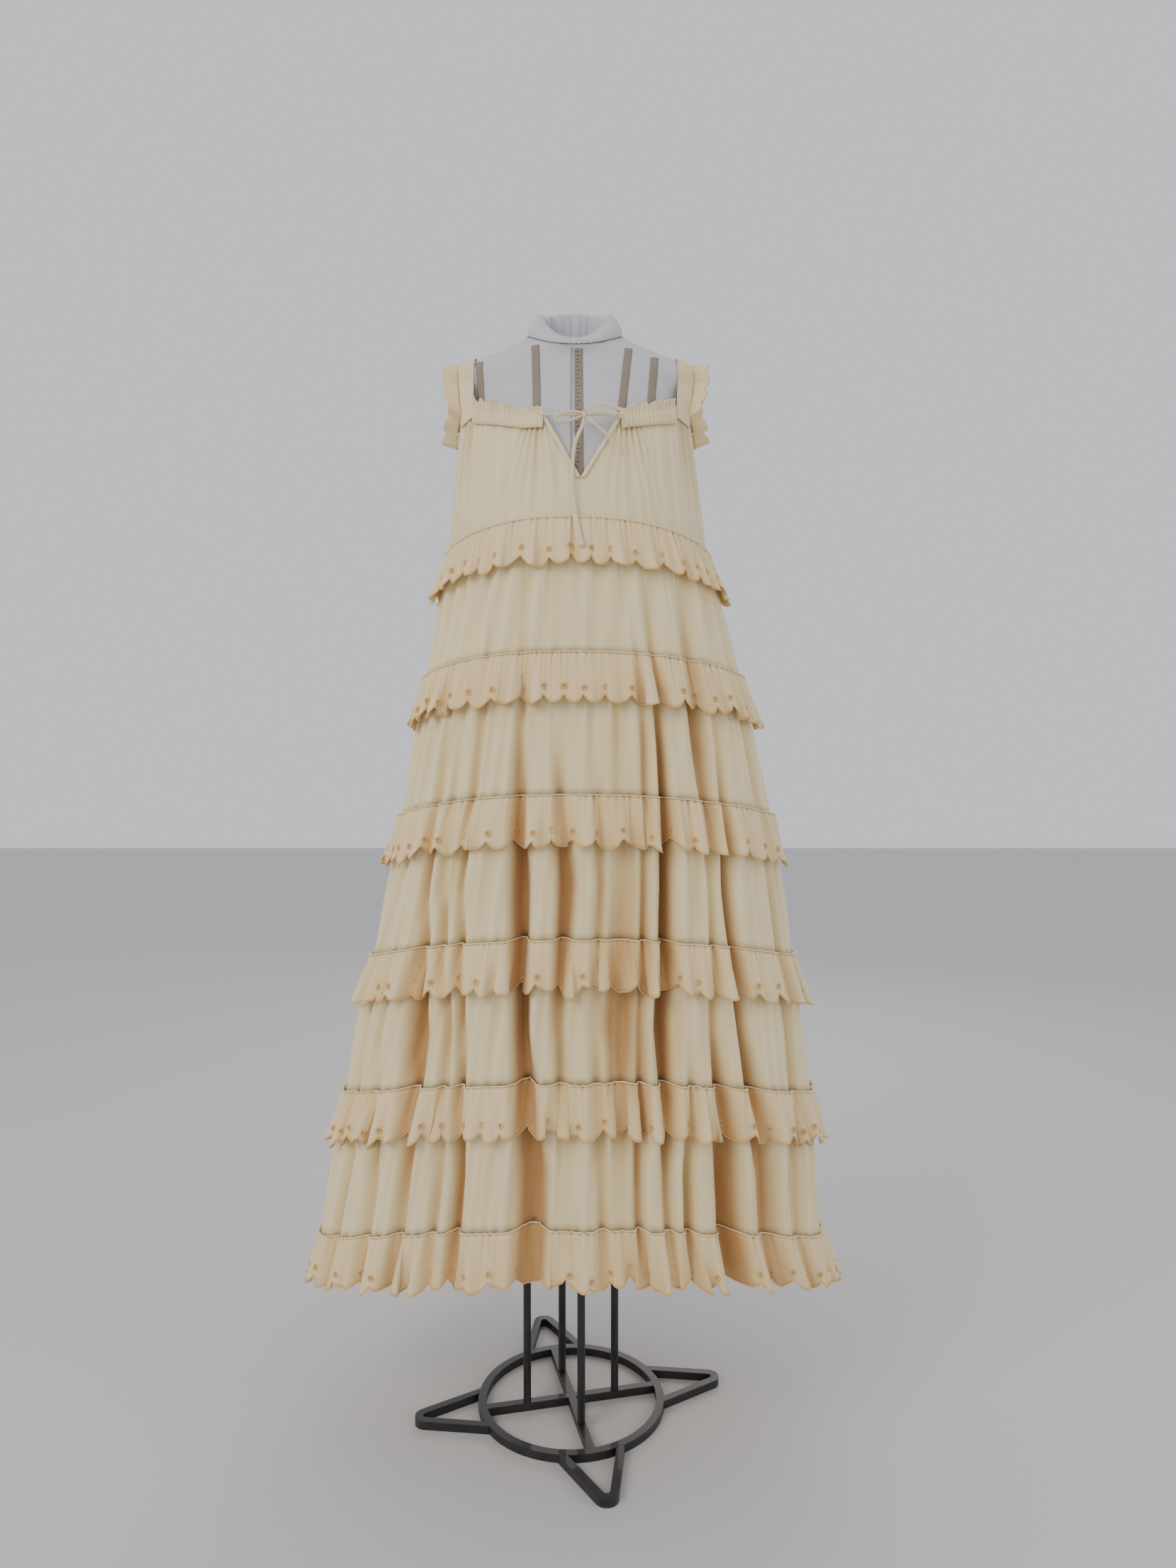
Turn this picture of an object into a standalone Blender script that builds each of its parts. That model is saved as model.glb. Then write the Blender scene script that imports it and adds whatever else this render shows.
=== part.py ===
# Tiered maxi dress on a limbless dress form with a welded iron stand.
# Metres, +Z up, front towards -Y, origin on the floor under the crossing of the stand's bars.
import math

import bmesh
import bpy
from mathutils import Vector
from mathutils.bvhtree import BVHTree

# Walls and gaps
WALL = 0.0015  # thickness of a cloth wall
RUFFLE_WALL = 0.0013
GAP = 0.0003  # between pieces that are sewn or laid together
LEAST_CORNER = 0.28  # keeps the wall from spiking at a sharp corner
SMOOTH_BELOW = math.radians(50)

# Stand
BAR = 0.012  # square bar
RING_RADIUS = 0.141  # outer edge of the base ring
STAND_TURN = math.radians(13.2)  # the crossed bars, turned about Z
UPRIGHT_RADIUS = 0.00575
UPRIGHT_PLACE = 0.068  # from the stand's axis
FOOT_REACH = 0.236  # from the stand's axis to the tip of a foot
FOOT_SPREAD = math.radians(20.0)  # half the angle a foot takes on the ring
FOOT_TIP_RADIUS = 0.017
FOOT_TIP_ARC = math.pi / 2 - 0.28  # half the turn of a foot's rounded tip
FOOT_LEG_INSET = 0.98 * BAR  # from a leg's outer edge on the ring to its inner edge
FORM_BOTTOM = 0.800

# The form: rings from the bottom up
SQUARENESS = 0.9  # power of sine and cosine: below 1 is squarer than an ellipse
SHOULDER_HALF = 0.178  # the flat ends of the shoulders, from the form's middle
FORM_MIDDLE = 0.008  # the form leans a little to the right
FORM_SIDES = 32
FORM_COLUMNS = ("z_front", "z_side", "z_back", "middle_x", "half_x", "y_front", "y_back")
FORM_RINGS = (
    (0.800, 0.800, 0.800, 0.000, 0.146, 0.092, 0.105),
    (0.830, 0.830, 0.830, 0.000, 0.163, 0.100, 0.118),
    (0.900, 0.900, 0.900, 0.001, 0.172, 0.104, 0.126),
    (0.970, 0.970, 0.970, 0.002, 0.168, 0.102, 0.122),
    (1.060, 1.060, 1.060, 0.004, 0.146, 0.094, 0.100),
    (1.170, 1.170, 1.170, 0.006, 0.121, 0.086, 0.078),
    (1.250, 1.250, 1.250, 0.008, 0.130, 0.104, 0.088),
    (1.330, 1.330, 1.330, 0.008, 0.150, 0.134, 0.104),
    (1.390, 1.390, 1.390, 0.008, 0.150, 0.127, 0.109),
    (1.440, 1.440, 1.440, 0.008, 0.148, 0.112, 0.109),
    (1.480, 1.480, 1.480, 0.008, 0.154, 0.098, 0.105),
    (1.513, 1.513, 1.515, 0.008, 0.170, 0.076, 0.092),
    (1.535, 1.540, 1.542, 0.008, 0.186, 0.068, 0.085),
    (1.547, 1.553, 1.557, 0.008, 0.174, 0.058, 0.074),
    (1.555, 1.564, 1.570, 0.008, 0.150, 0.054, 0.066),
    (1.562, 1.581, 1.588, 0.008, 0.108, 0.054, 0.060),
    (1.571, 1.600, 1.612, 0.006, 0.068, 0.058, 0.050),
)
COLLAR_RINGS = (
    (1.5715, 1.6005, 1.6125, 0.006, 0.0690, 0.0590, 0.0510),
    (1.5780, 1.6200, 1.6350, 0.006, 0.0620, 0.0560, 0.0500),
    (1.5840, 1.6340, 1.6520, 0.006, 0.0520, 0.0460, 0.0450),
)
COLLAR_WALL = 0.005
NECK_TOP = (0.006, -0.002, 1.575)  # the middle of the torso's closed top
ARM_CAP = {"y": 0.004, "z": 1.500, "half_y": 0.026, "half_z": 0.036, "reach": 0.184}
ARM_CAP_BEVEL = 0.003
ARM_CAP_SIDES = 20
ARM_CAP_NEAR = 0.0003

# The dress: its outline at the neck, at each seam and at the hem, from the top down
OUTLINE_COLUMNS = ("level", "z_front", "z_side", "x_left", "x_right", "y_front", "y_back")
OUTLINE = (
    (0.0, 1.4620, 1.4380, 0.166, 0.181, 0.118, 0.115),
    (1.0, 1.3070, 1.2700, 0.181, 0.203, 0.150, 0.135),
    (2.0, 1.1255, 1.0960, 0.214, 0.253, 0.165, 0.155),
    (3.0, 0.9340, 0.8960, 0.251, 0.2985, 0.175, 0.170),
    (4.0, 0.7400, 0.6900, 0.294, 0.331, 0.185, 0.185),
    (5.0, 0.5490, 0.4900, 0.336, 0.360, 0.195, 0.200),
    (6.0, 0.3550, 0.2770, 0.375, 0.375, 0.205, 0.215),
    (6.4, 0.2800, 0.2070, 0.391, 0.397, 0.215, 0.225),
)
# Height of the top edge against the turn away from centre front, in degrees
TOP_EDGE = (
    (0, 1.4580),
    (20, 1.4590),
    (53, 1.4820),
    (67, 1.4740),
    (80, 1.4480),
    (90, 1.4380),
    (100, 1.4480),
    (113, 1.4740),
    (127, 1.4820),
    (180, 1.4700),
)
BODICE_STEPS = (0.0, 0.35, 0.7, 1.0)  # rows of the bodice, from its top edge to the seam
NECK_BAND = {"top": -0.035, "bottom": 0.15, "from_strap": 52.0, "step": 6.0}
BINDING_WIDTH = 0.0060
BINDING_ROWS = 6
BINDING_SHARES = (0.15, 0.55, 1.0)  # across the binding, from the slit's edge
STRAP_TURNS = (53.0, 57.7, 62.3, 67.0)  # where a strap meets the top edge
STRAP_INNER = 0.146  # at the shoulder, from the form's middle
STRAP_OUTER = 0.170
STRAP_PIVOT = Vector((0.0, 0.010, 1.532))
STRAP_SWEEP = 100.0  # degrees to each side of straight up
STRAP_ROWS = 15
STRAP_LIFT = 0.0001
STRAP_REACH = 0.12  # where the rays to the form start, from the pivot
FRILL_WIDTH = 0.020
FRILL_HALF_WALL = 0.0006
FRILL_CLEAR = 0.0008  # from the dress's side to the frill
FRILL_TURNS = (70, 76, 83, 90, 97, 104, 110)  # under the arm, from centre front
FRILL_LEAN_OVER, FRILL_LEAN_UNDER = 0.15, 0.45  # how steeply the frill rises outwards
SIDE_GAP = math.radians(0.1)  # between the front and the back at each side
SLIT = {"left": -0.036, "right": 0.070, "point": 0.0155, "bottom": 0.62}

# Folds: troughs that run down the skirt. For the middle of tiers 3 to 6: the angle in
# degrees (-180 left side, -90 front, 0 right side), the depth and the half width in degrees.
FOLD_LEVELS = (2.6, 3.6, 4.6, 5.6)
FOLD_START = 1.0  # the folds grow out of the smooth upper dress from this level
FOLDS = (
    ((-158, -160, -160, -153), (4, 6, 9, 12), (4.0, 4.0, 4.0, 3.0)),
    ((-136, -134.8, -130, -127), (8, 16, 34, 16), (2.0, 2.2, 4.2, 2.0)),
    ((-119, -120.3, -115, -112.2), (10, 16, 16, 22), (1.6, 1.5, 1.3, 1.4)),
    ((-104.5, -102, -100, -96.4), (10, 40, 40, 35), (2.0, 2.4, 1.7, 2.8)),
    ((-93, -90.7, -91.9, -90.5), (4, 34, 22, 4), (1.6, 1.8, 1.2, 1.4)),
    ((-77.5, -78.3, -80.6, -80.4), (5, 12, 28, 8), (3.2, 3.8, 3.6, 2.6)),
    ((-71, -73.0, -75.3, -77.0), (12, 18, 20, 18), (1.3, 1.3, 1.2, 1.1)),
    ((-65.5, -67.2, -70.3, -71.0), (22, 40, 44, 15), (1.6, 1.6, 1.9, 1.3)),
    ((-51, -54.0, -57.4, -55.5), (26, 12, 14, 44), (3.0, 1.5, 1.4, 3.3)),
    ((-44, -48.4, -48.3, -43.0), (4, 30, 30, 22), (1.8, 1.8, 1.7, 4.2)),
    ((-25, -25.8, -25.6, -30.5), (6, 12, 14, 12), (3.0, 3.0, 3.0, 3.4)),
    ((16, 17, 18, 16), (6, 10, 14, 16), (3.0, 3.0, 3.0, 3.0)),
    ((33, 35, 34, 36), (5, 16, 18, 20), (2.0, 2.2, 2.2, 2.4)),
    ((47, 48, 50, 49), (16, 30, 34, 30), (2.0, 2.2, 2.2, 2.6)),
    ((70, 71, 72, 70), (14, 32, 40, 36), (2.0, 2.2, 2.2, 2.4)),
    ((81, 82, 83, 84), (5, 14, 18, 20), (1.8, 1.8, 1.8, 1.8)),
    ((92, 92, 94, 93), (10, 34, 36, 32), (2.0, 2.2, 2.4, 2.2)),
    ((114, 115, 114, 116), (14, 32, 40, 38), (2.0, 2.2, 2.2, 2.4)),
    ((127, 128, 127, 126), (6, 18, 20, 22), (2.0, 2.0, 2.0, 2.0)),
    ((141, 141, 143, 142), (10, 20, 26, 28), (2.6, 2.6, 2.8, 2.8)),
    ((160, 161, 161, 160), (5, 9, 12, 14), (3.0, 3.0, 3.0, 3.0)),
)
SHOULDER_OF_FOLD = 1.35  # a trough's edge points, in half widths from its middle
FOLD_SHARE = 0.42  # the most of the way to the next trough that an edge point may stand
FOLD_GROWTH = 1.5  # power with which the folds grow out of the smooth upper dress
SIDE_PULL = 2.2  # stretches the way out towards the front and back, as the skirt is flat there
RUFFLE_DROP = 0.36  # of a tier's height
RUFFLE_FLARE = 0.016
RUFFLE_FOLLOWS = 0.7  # share of the depth of the folds that a ruffle's hem follows
HEM_LEVEL = 6.4
SIDE_TO_FRONT_POWER = 1.5  # how quickly a seam rises from the side to the front

# Drawstring: round stand-ins for the folded cotton string
STRING_RADIUS = 0.0015
TAIL_RADIUS = 0.0020
KNOT = {"place": (0.0200, -0.1275, 1.4505), "radius": 0.0052}
LEFT_STRING = ((-0.0390, -0.1212, 1.4530), (-0.0130, -0.1258, 1.4515), (0.0145, -0.1275, 1.4508))
RIGHT_STRING = ((0.0255, -0.1275, 1.4508), (0.0480, -0.1255, 1.4508), (0.0730, -0.1174, 1.4500))
LEFT_LOOP = (
    (0.0161, -0.1306, 1.4480),
    (0.0080, -0.1335, 1.4440),
    (-0.0040, -0.1340, 1.4400),
    (-0.0140, -0.1350, 1.4395),
    (-0.0185, -0.1360, 1.4430),
    (-0.0150, -0.1365, 1.4475),
    (-0.0040, -0.1360, 1.4510),
    (0.0080, -0.1345, 1.4530),
    (0.0160, -0.1310, 1.4523),
)
RIGHT_LOOP = (
    (0.0231, -0.1306, 1.4540),
    (0.0330, -0.1345, 1.4610),
    (0.0440, -0.1350, 1.4640),
    (0.0560, -0.1345, 1.4620),
    (0.0670, -0.1340, 1.4570),
    (0.0720, -0.1340, 1.4520),
    (0.0660, -0.1345, 1.4500),
    (0.0540, -0.1345, 1.4530),
    (0.0400, -0.1340, 1.4550),
    (0.0250, -0.1311, 1.4500),
)
LONG_TAIL = (
    (0.0200, -0.1297, 1.4454),
    (0.0170, -0.1335, 1.4330),
    (0.0080, -0.1350, 1.4120),
    (0.0050, -0.1385, 1.3900),
    (0.0040, -0.1425, 1.3700),
    (0.0032, -0.1475, 1.3530),
    (0.0050, -0.1510, 1.3320),
    (0.0080, -0.1560, 1.3080),
    (0.0110, -0.1640, 1.2880),
    (0.0165, -0.1720, 1.2660),
)
SHORT_TAIL = (
    (0.0235, -0.1300, 1.4469),
    (0.0350, -0.1335, 1.4370),
    (0.0490, -0.1315, 1.4250),
    (0.0620, -0.1285, 1.4110),
    (0.0690, -0.1270, 1.3990),
)

IRON = {"name": "painted iron", "colour": (0.012, 0.012, 0.014, 1.0), "rough": 0.45, "metal": 0.6}
LINEN = {"name": "linen cover", "colour": (0.50, 0.50, 0.53, 1.0), "rough": 0.9, "metal": 0.0}
COTTON = {"name": "crinkled cotton", "colour": (0.70, 0.58, 0.40, 1.0), "rough": 0.85, "metal": 0.0}
EDGE = {"name": "scalloped cotton", "colour": (0.74, 0.57, 0.34, 1.0), "rough": 0.85, "metal": 0.0}


def material(kind):
    """The Principled BSDF of one kind of finish, made once."""
    made = bpy.data.materials.get(kind["name"])
    if made is None:
        made = bpy.data.materials.new(kind["name"])
        made.use_nodes = True
        shader = made.node_tree.nodes["Principled BSDF"]
        shader.inputs["Base Color"].default_value = kind["colour"]
        shader.inputs["Roughness"].default_value = kind["rough"]
        shader.inputs["Metallic"].default_value = kind["metal"]
    return made


def add_mesh(name, points, faces, kind, smooth=True):
    """One named object from points and faces, its faces turned outwards."""
    mesh = bpy.data.meshes.new(name)
    mesh.from_pydata([tuple(p) for p in points], [], faces)
    work = bmesh.new()
    work.from_mesh(mesh)
    bmesh.ops.recalc_face_normals(work, faces=work.faces)
    work.to_mesh(mesh)
    work.free()
    if smooth:
        mesh.shade_smooth()
        mesh.set_sharp_from_angle(angle=SMOOTH_BELOW)
    mesh.materials.append(material(kind))
    made = bpy.data.objects.new(name, mesh)
    bpy.context.scene.collection.objects.link(made)
    return made


def power(value, exponent):
    return math.copysign(abs(value) ** exponent, value)


def between(levels, values, at):
    """Straight interpolation in a short table, held at both ends."""
    if at <= levels[0]:
        return values[0]
    for low, high, first, second in zip(levels, levels[1:], values, values[1:]):
        if at <= high:
            return first + (second - first) * (at - low) / (high - low)
    return values[-1]


# Closed bodies from rows of points

def wall(name, outer, inner, kind, closed):
    """A closed cloth wall: rows of points run down it, each row across or all round."""
    rows = len(outer)
    across = len(outer[0])
    points = [p for row in outer for p in row] + [p for row in inner for p in row]
    inside = rows * across
    faces = []
    last = across if closed else across - 1
    for r in range(rows - 1):
        for c in range(last):
            d = (c + 1) % across
            a0, a1 = r * across + c, r * across + d
            b0, b1 = a0 + across, a1 + across
            faces.append((a0, b0, b1))
            faces.append((a0, b1, a1))
            faces.append((inside + a0, inside + b1, inside + b0))
            faces.append((inside + a0, inside + a1, inside + b1))
    for r in (0, rows - 1):
        for c in range(last):
            d = (c + 1) % across
            a0, a1 = r * across + c, r * across + d
            faces.append((a0, a1, inside + a1, inside + a0))
    if not closed:
        for c in (0, across - 1):
            for r in range(rows - 1):
                a0, b0 = r * across + c, (r + 1) * across + c
                faces.append((a0, b0, inside + b0, inside + a0))
    return add_mesh(name, points, faces, kind)


def ring_normals(ring, closed):
    """Level directions that point out of a ring, stretched at corners to keep the wall's width."""
    count = len(ring)
    normals = []
    for i, here in enumerate(ring):
        before = ring[i - 1] if closed or i > 0 else None
        after = ring[(i + 1) % count] if closed or i < count - 1 else None
        sides = []
        if before is not None:
            sides.append(Vector((here.y - before.y, before.x - here.x, 0)).normalized())
        if after is not None:
            sides.append(Vector((after.y - here.y, here.x - after.x, 0)).normalized())
        if len(sides) == 1:
            normals.append(sides[0])
            continue
        middle = (sides[0] + sides[1]).normalized()
        stretch = 1.0 / max(middle.dot(sides[0]), LEAST_CORNER)
        normals.append(middle * stretch)
    return normals


def moved_out(ring, distance, closed):
    return [p + n * distance for p, n in zip(ring, ring_normals(ring, closed))]


# The dress's surface

def outline(level, angle):
    """A point of the dress without its folds."""
    levels = [row[0] for row in OUTLINE]
    values = {
        name: between(levels, [row[i] for row in OUTLINE], level)
        for i, name in enumerate(OUTLINE_COLUMNS)
    }
    c, s = math.cos(angle), math.sin(angle)
    x = power(c, SQUARENESS) * (values["x_left"] if c < 0 else values["x_right"])
    y = power(s, SQUARENESS) * (values["y_front"] if s < 0 else values["y_back"])
    rise = abs(s) ** SIDE_TO_FRONT_POWER
    z = values["z_side"] + (values["z_front"] - values["z_side"]) * rise
    return Vector((x, y, z))


def fold_angles(level):
    """The angle of each trough and of its two edges at this level, in order round the dress."""
    middles = [between(FOLD_LEVELS, row[0], level) for row in FOLDS]
    widths = [between(FOLD_LEVELS, row[2], level) * SHOULDER_OF_FOLD for row in FOLDS]
    angles = []
    for i, middle in enumerate(middles):
        before = middles[i - 1] - (360 if i == 0 else 0)
        after = middles[(i + 1) % len(middles)] + (360 if i == len(middles) - 1 else 0)
        left = min(widths[i], FOLD_SHARE * (middle - before))
        right = min(widths[i], FOLD_SHARE * (after - middle))
        angles += [middle - left, middle, middle + right]
    angles += [0.0, 180.0]
    return sorted(math.radians(a) for a in angles)


def fold_depth(level, angle):
    """How far the troughs draw the cloth in at this angle."""
    grown = min(max((level - FOLD_START) / (FOLD_LEVELS[0] - FOLD_START), 0.0), 1.0)
    total = 0.0
    for angles, depths, half_widths in FOLDS:
        turn = math.degrees(angle) - between(FOLD_LEVELS, angles, level)
        turn = (turn + 180) % 360 - 180
        width = between(FOLD_LEVELS, half_widths, level)
        total += between(FOLD_LEVELS, depths, level) * math.exp(-((turn / width) ** 2))
    return 0.001 * total * grown ** FOLD_GROWTH


def skirt_ring(level, share=1.0, flare=0.0):
    """All round the skirt at one level; share of the folds' depth, moved out by flare."""
    ring = []
    for angle in fold_angles(level):
        place = outline(level, angle)
        out = Vector((place.x, place.y * SIDE_PULL, 0)).normalized()
        ring.append(place + out * (flare - share * fold_depth(level, angle)))
    return ring


def level_rows(levels, drop_first=0.0, lift_last=0.0):
    rows = [skirt_ring(level) for level in levels]
    rows[0] = [p - Vector((0, 0, drop_first)) for p in rows[0]]
    rows[-1] = [p + Vector((0, 0, lift_last)) for p in rows[-1]]
    return rows


def make_tier(number):
    """A gathered tier between two seams."""
    top = number - 1
    rows = level_rows((top, top + RUFFLE_DROP, number), GAP / 2, GAP / 2)
    inner = [moved_out(row, -WALL, True) for row in rows]
    return wall(f"tier_{number}", rows, inner, COTTON, True)


def make_ruffle(number):
    """A scalloped ruffle caught in the seam above a tier, hanging over it."""
    top = float(number)
    first = [p - Vector((0, 0, GAP / 2)) for p in skirt_ring(top)]
    inner = [moved_out(first, GAP, True)]
    outer = [moved_out(first, GAP + RUFFLE_WALL, True)]
    hem = skirt_ring(top + RUFFLE_DROP, RUFFLE_FOLLOWS, RUFFLE_FLARE)
    outer.append(hem)
    inner.append(moved_out(hem, -RUFFLE_WALL, True))
    return wall(f"ruffle_{number}", outer, inner, EDGE, True)


def make_hem_ruffle():
    """The last ruffle, sewn to the bottom of tier 6."""
    rows = level_rows((6.0, HEM_LEVEL), GAP / 2)
    inner = [moved_out(row, -RUFFLE_WALL, True) for row in rows]
    return wall("ruffle_6_hem", rows, inner, EDGE, True)


# The bodice

def top_height(turn):
    return between([row[0] for row in TOP_EDGE], [row[1] for row in TOP_EDGE], turn)


def bodice_point(angle, fraction):
    """A point of the bodice: fraction 0 is its top edge, 1 the first seam."""
    place = outline(fraction, angle)
    turn = abs((math.degrees(angle) + 90 + 180) % 360 - 180)
    seam = outline(1.0, angle).z
    place.z = top_height(turn) + (seam - top_height(turn)) * fraction
    return place


def angle_at(x, fraction=0.0):
    """The angle on the front where the bodice stands at this x."""
    low, high = -math.pi, 0.0
    for _ in range(40):
        middle = (low + high) / 2
        if bodice_point(middle, fraction).x < x:
            low = middle
        else:
            high = middle
    return (low + high) / 2


def slit_top(angle):
    """The fraction at which the cloth starts under the V slit, at this angle."""
    left, right, point = angle_at(SLIT["left"]), angle_at(SLIT["right"]), angle_at(SLIT["point"])
    if left < angle <= point:
        return SLIT["bottom"] * (angle - left) / (point - left)
    if point < angle < right:
        return SLIT["bottom"] * (right - angle) / (right - point)
    return 0.0


def even_angles(start, end, step):
    """Angles from start to end, about step apart in degrees."""
    count = max(1, round((end - start) / step))
    return [math.radians(start + (end - start) * i / count) for i in range(count + 1)]


def bodice_angles(start, end, extra=()):
    """The skirt's own angles between two sides, with the slit's corners among them."""
    near = math.radians(2.0)
    inside = [a for a in fold_angles(1.0) if start + near < a < end - near]
    kept = [a for a in inside if all(abs(a - e) > near / 2 for e in extra)]
    return sorted([start + SIDE_GAP, end - SIDE_GAP] + kept + list(extra))


def make_bodice_front():
    marks = [angle_at(SLIT[key]) for key in ("left", "point", "right")]
    angles = bodice_angles(-math.pi, 0.0, marks)
    outer = []
    for step in BODICE_STEPS:
        row = []
        for angle in angles:
            top = slit_top(angle)
            place = bodice_point(angle, top + (1 - top) * step)
            if step == 1.0:
                place.z += GAP / 2
            row.append(place)
        outer.append(row)
    inner = [moved_out(row, -WALL, False) for row in outer]
    return wall("bodice_front", outer, inner, COTTON, False)


def make_bodice_back():
    angles = bodice_angles(0.0, math.pi)
    outer = []
    for step in BODICE_STEPS:
        row = [bodice_point(angle, step) for angle in angles]
        if step == 1.0:
            row = [p + Vector((0, 0, GAP / 2)) for p in row]
        outer.append(row)
    inner = [moved_out(row, -WALL, False) for row in outer]
    return wall("bodice_back", outer, inner, COTTON, False)


def neck_band(name, start, end):
    """A strip that lies on the top of the bodice, from start to end in degrees."""
    angles = even_angles(start, end, NECK_BAND["step"])
    top, bottom = NECK_BAND["top"], NECK_BAND["bottom"]
    outer, inner = [], []
    for share in (0.0, 0.5, 1.0):
        row = [bodice_point(a, top + (bottom - top) * share) for a in angles]
        inner.append(moved_out(row, GAP, False))
        outer.append(moved_out(row, GAP + WALL, False))
    return wall(name, outer, inner, COTTON, False)


def make_neck_bands():
    """The gathered casing with its frill: left and right of the slit, and across the back."""
    aside = BINDING_WIDTH + 0.001
    left_end = math.degrees(angle_at(SLIT["left"] - aside))
    right_end = math.degrees(angle_at(SLIT["right"] + aside))
    turn = NECK_BAND["from_strap"]
    neck_band("neck_band_front_left", -90 - turn, left_end)
    neck_band("neck_band_front_right", right_end, -90 + turn)
    neck_band("neck_band_back", 90 - turn, 90 + turn)


def make_slit_binding(name, edge_x, side):
    """A narrow folded strip along one edge of the V slit."""
    outer, inner = [], []
    for step in range(BINDING_ROWS):
        down = step / (BINDING_ROWS - 1)
        fraction = SLIT["bottom"] * down
        x = edge_x + (SLIT["point"] - edge_x) * down
        row = []
        for share in BINDING_SHARES:
            place_x = x + side * BINDING_WIDTH * share
            row.append(bodice_point(angle_at(place_x, fraction), fraction))
        row.sort(key=lambda p: p.x)
        inner.append(moved_out(row, 2 * GAP, False))
        outer.append(moved_out(row, 2 * GAP + WALL, False))
    wall(name, outer, inner, COTTON, False)


# The form

def form_ring(row, sides=FORM_SIDES):
    values = dict(zip(FORM_COLUMNS, row))
    ring = []
    for i in range(sides):
        angle = 2 * math.pi * (i + 0.5) / sides
        c, s = math.cos(angle), math.sin(angle)
        reach = power(c, SQUARENESS) * values["half_x"]
        x = values["middle_x"] + min(max(reach, -SHOULDER_HALF), SHOULDER_HALF)
        y = power(s, SQUARENESS) * (values["y_front"] if s < 0 else values["y_back"])
        end = values["z_front"] if s < 0 else values["z_back"]
        z = values["z_side"] + (end - values["z_side"]) * abs(s) ** SIDE_TO_FRONT_POWER
        ring.append(Vector((x, y, z)))
    return ring


def make_torso():
    rings = [form_ring(row) for row in FORM_RINGS]
    points = [p for ring in rings for p in ring]
    faces = []
    for r in range(len(rings) - 1):
        for c in range(FORM_SIDES):
            d = (c + 1) % FORM_SIDES
            a0, a1 = r * FORM_SIDES + c, r * FORM_SIDES + d
            faces.append((a0, a1, a1 + FORM_SIDES))
            faces.append((a0, a1 + FORM_SIDES, a0 + FORM_SIDES))
    faces.append(tuple(range(FORM_SIDES)))
    last = (len(rings) - 1) * FORM_SIDES
    points.append(Vector(NECK_TOP))
    for c in range(FORM_SIDES):
        faces.append((last + c, last + (c + 1) % FORM_SIDES, len(points) - 1))
    return add_mesh("form_torso", points, faces, LINEN)


def make_collar():
    outer = [form_ring(row) for row in COLLAR_RINGS]
    inner = [moved_out(row, -COLLAR_WALL, True) for row in outer]
    return wall("form_collar", outer, inner, LINEN, True)


def cap_seat(tree, side, y, z):
    """How far out the form's end reaches round this place, from the form's middle."""
    most = 0.0
    for up in (-0.006, 0.0, 0.006):
        for along in (-0.004, 0.0, 0.004):
            start = Vector((FORM_MIDDLE + side * STRAP_REACH * 2, y + along, z + up))
            hit = tree.ray_cast(start, Vector((-side, 0, 0)))[0]
            most = max(most, side * (hit.x - FORM_MIDDLE))
    return most


def make_arm_cap(name, side, tree):
    """The oval cap that closes a shoulder: a flat face outside, the form's shape inside."""
    sides = ARM_CAP_SIDES
    # each ring's reach and its share of the oval; None stands for the form's own surface
    rings = ((ARM_CAP["reach"], 0.9), (ARM_CAP["reach"] - ARM_CAP_BEVEL, 1.0), (None, 1.0), (None, 0.5))
    points = []
    for reach, share in rings:
        for i in range(sides):
            turn = 2 * math.pi * i / sides
            y = ARM_CAP["y"] + ARM_CAP["half_y"] * share * math.cos(turn)
            z = ARM_CAP["z"] + ARM_CAP["half_z"] * share * math.sin(turn)
            away = reach or cap_seat(tree, side, y, z) + ARM_CAP_NEAR
            points.append(Vector((FORM_MIDDLE + side * away, y, z)))
    seat = cap_seat(tree, side, ARM_CAP["y"], ARM_CAP["z"]) + ARM_CAP_NEAR
    points.append(Vector((FORM_MIDDLE + side * seat, ARM_CAP["y"], ARM_CAP["z"])))
    faces = [tuple(range(sides))]
    for r in range(len(rings) - 1):
        for i in range(sides):
            a0, a1 = r * sides + i, r * sides + (i + 1) % sides
            faces.append((a0, a1, a1 + sides))
            faces.append((a0, a1 + sides, a0 + sides))
    last = (len(rings) - 1) * sides
    faces += [(last + i, last + (i + 1) % sides, len(points) - 1) for i in range(sides)]
    return add_mesh(name, points, faces, LINEN)


# Straps and armhole ruffles

def strap_rows(tree, side):
    """Rows across a strap from its front end over the shoulder to its back end."""
    columns = len(STRAP_TURNS)
    over = []
    for step in range(STRAP_ROWS):
        tilt = math.radians(-STRAP_SWEEP + 2 * STRAP_SWEEP * step / (STRAP_ROWS - 1))
        away = Vector((0, math.sin(tilt), math.cos(tilt)))
        row = []
        for c in range(columns):
            reach = STRAP_INNER + (STRAP_OUTER - STRAP_INNER) * c / (columns - 1)
            pivot = Vector((FORM_MIDDLE + side * reach, STRAP_PIVOT.y, STRAP_PIVOT.z))
            row.append((pivot + away * form_radius(tree, pivot, tilt), away))
        over.append(row)
    return over


def form_radius(tree, pivot, tilt):
    """The form's greatest distance from the pivot near this tilt, so that a flat facet clears it."""
    most = 0.0
    step = math.radians(STRAP_SWEEP / (STRAP_ROWS - 1))
    for turn in (-1.0, -0.5, 0.0, 0.5, 1.0):
        for aside in (-0.004, 0.0, 0.004):
            away = Vector((0, math.sin(tilt + turn * step), math.cos(tilt + turn * step)))
            start = pivot + away * STRAP_REACH + Vector((aside, 0, 0))
            hit = tree.ray_cast(start, -away)[0]
            if hit is not None:
                most = max(most, STRAP_REACH - (hit - start).length)
    return most


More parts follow.
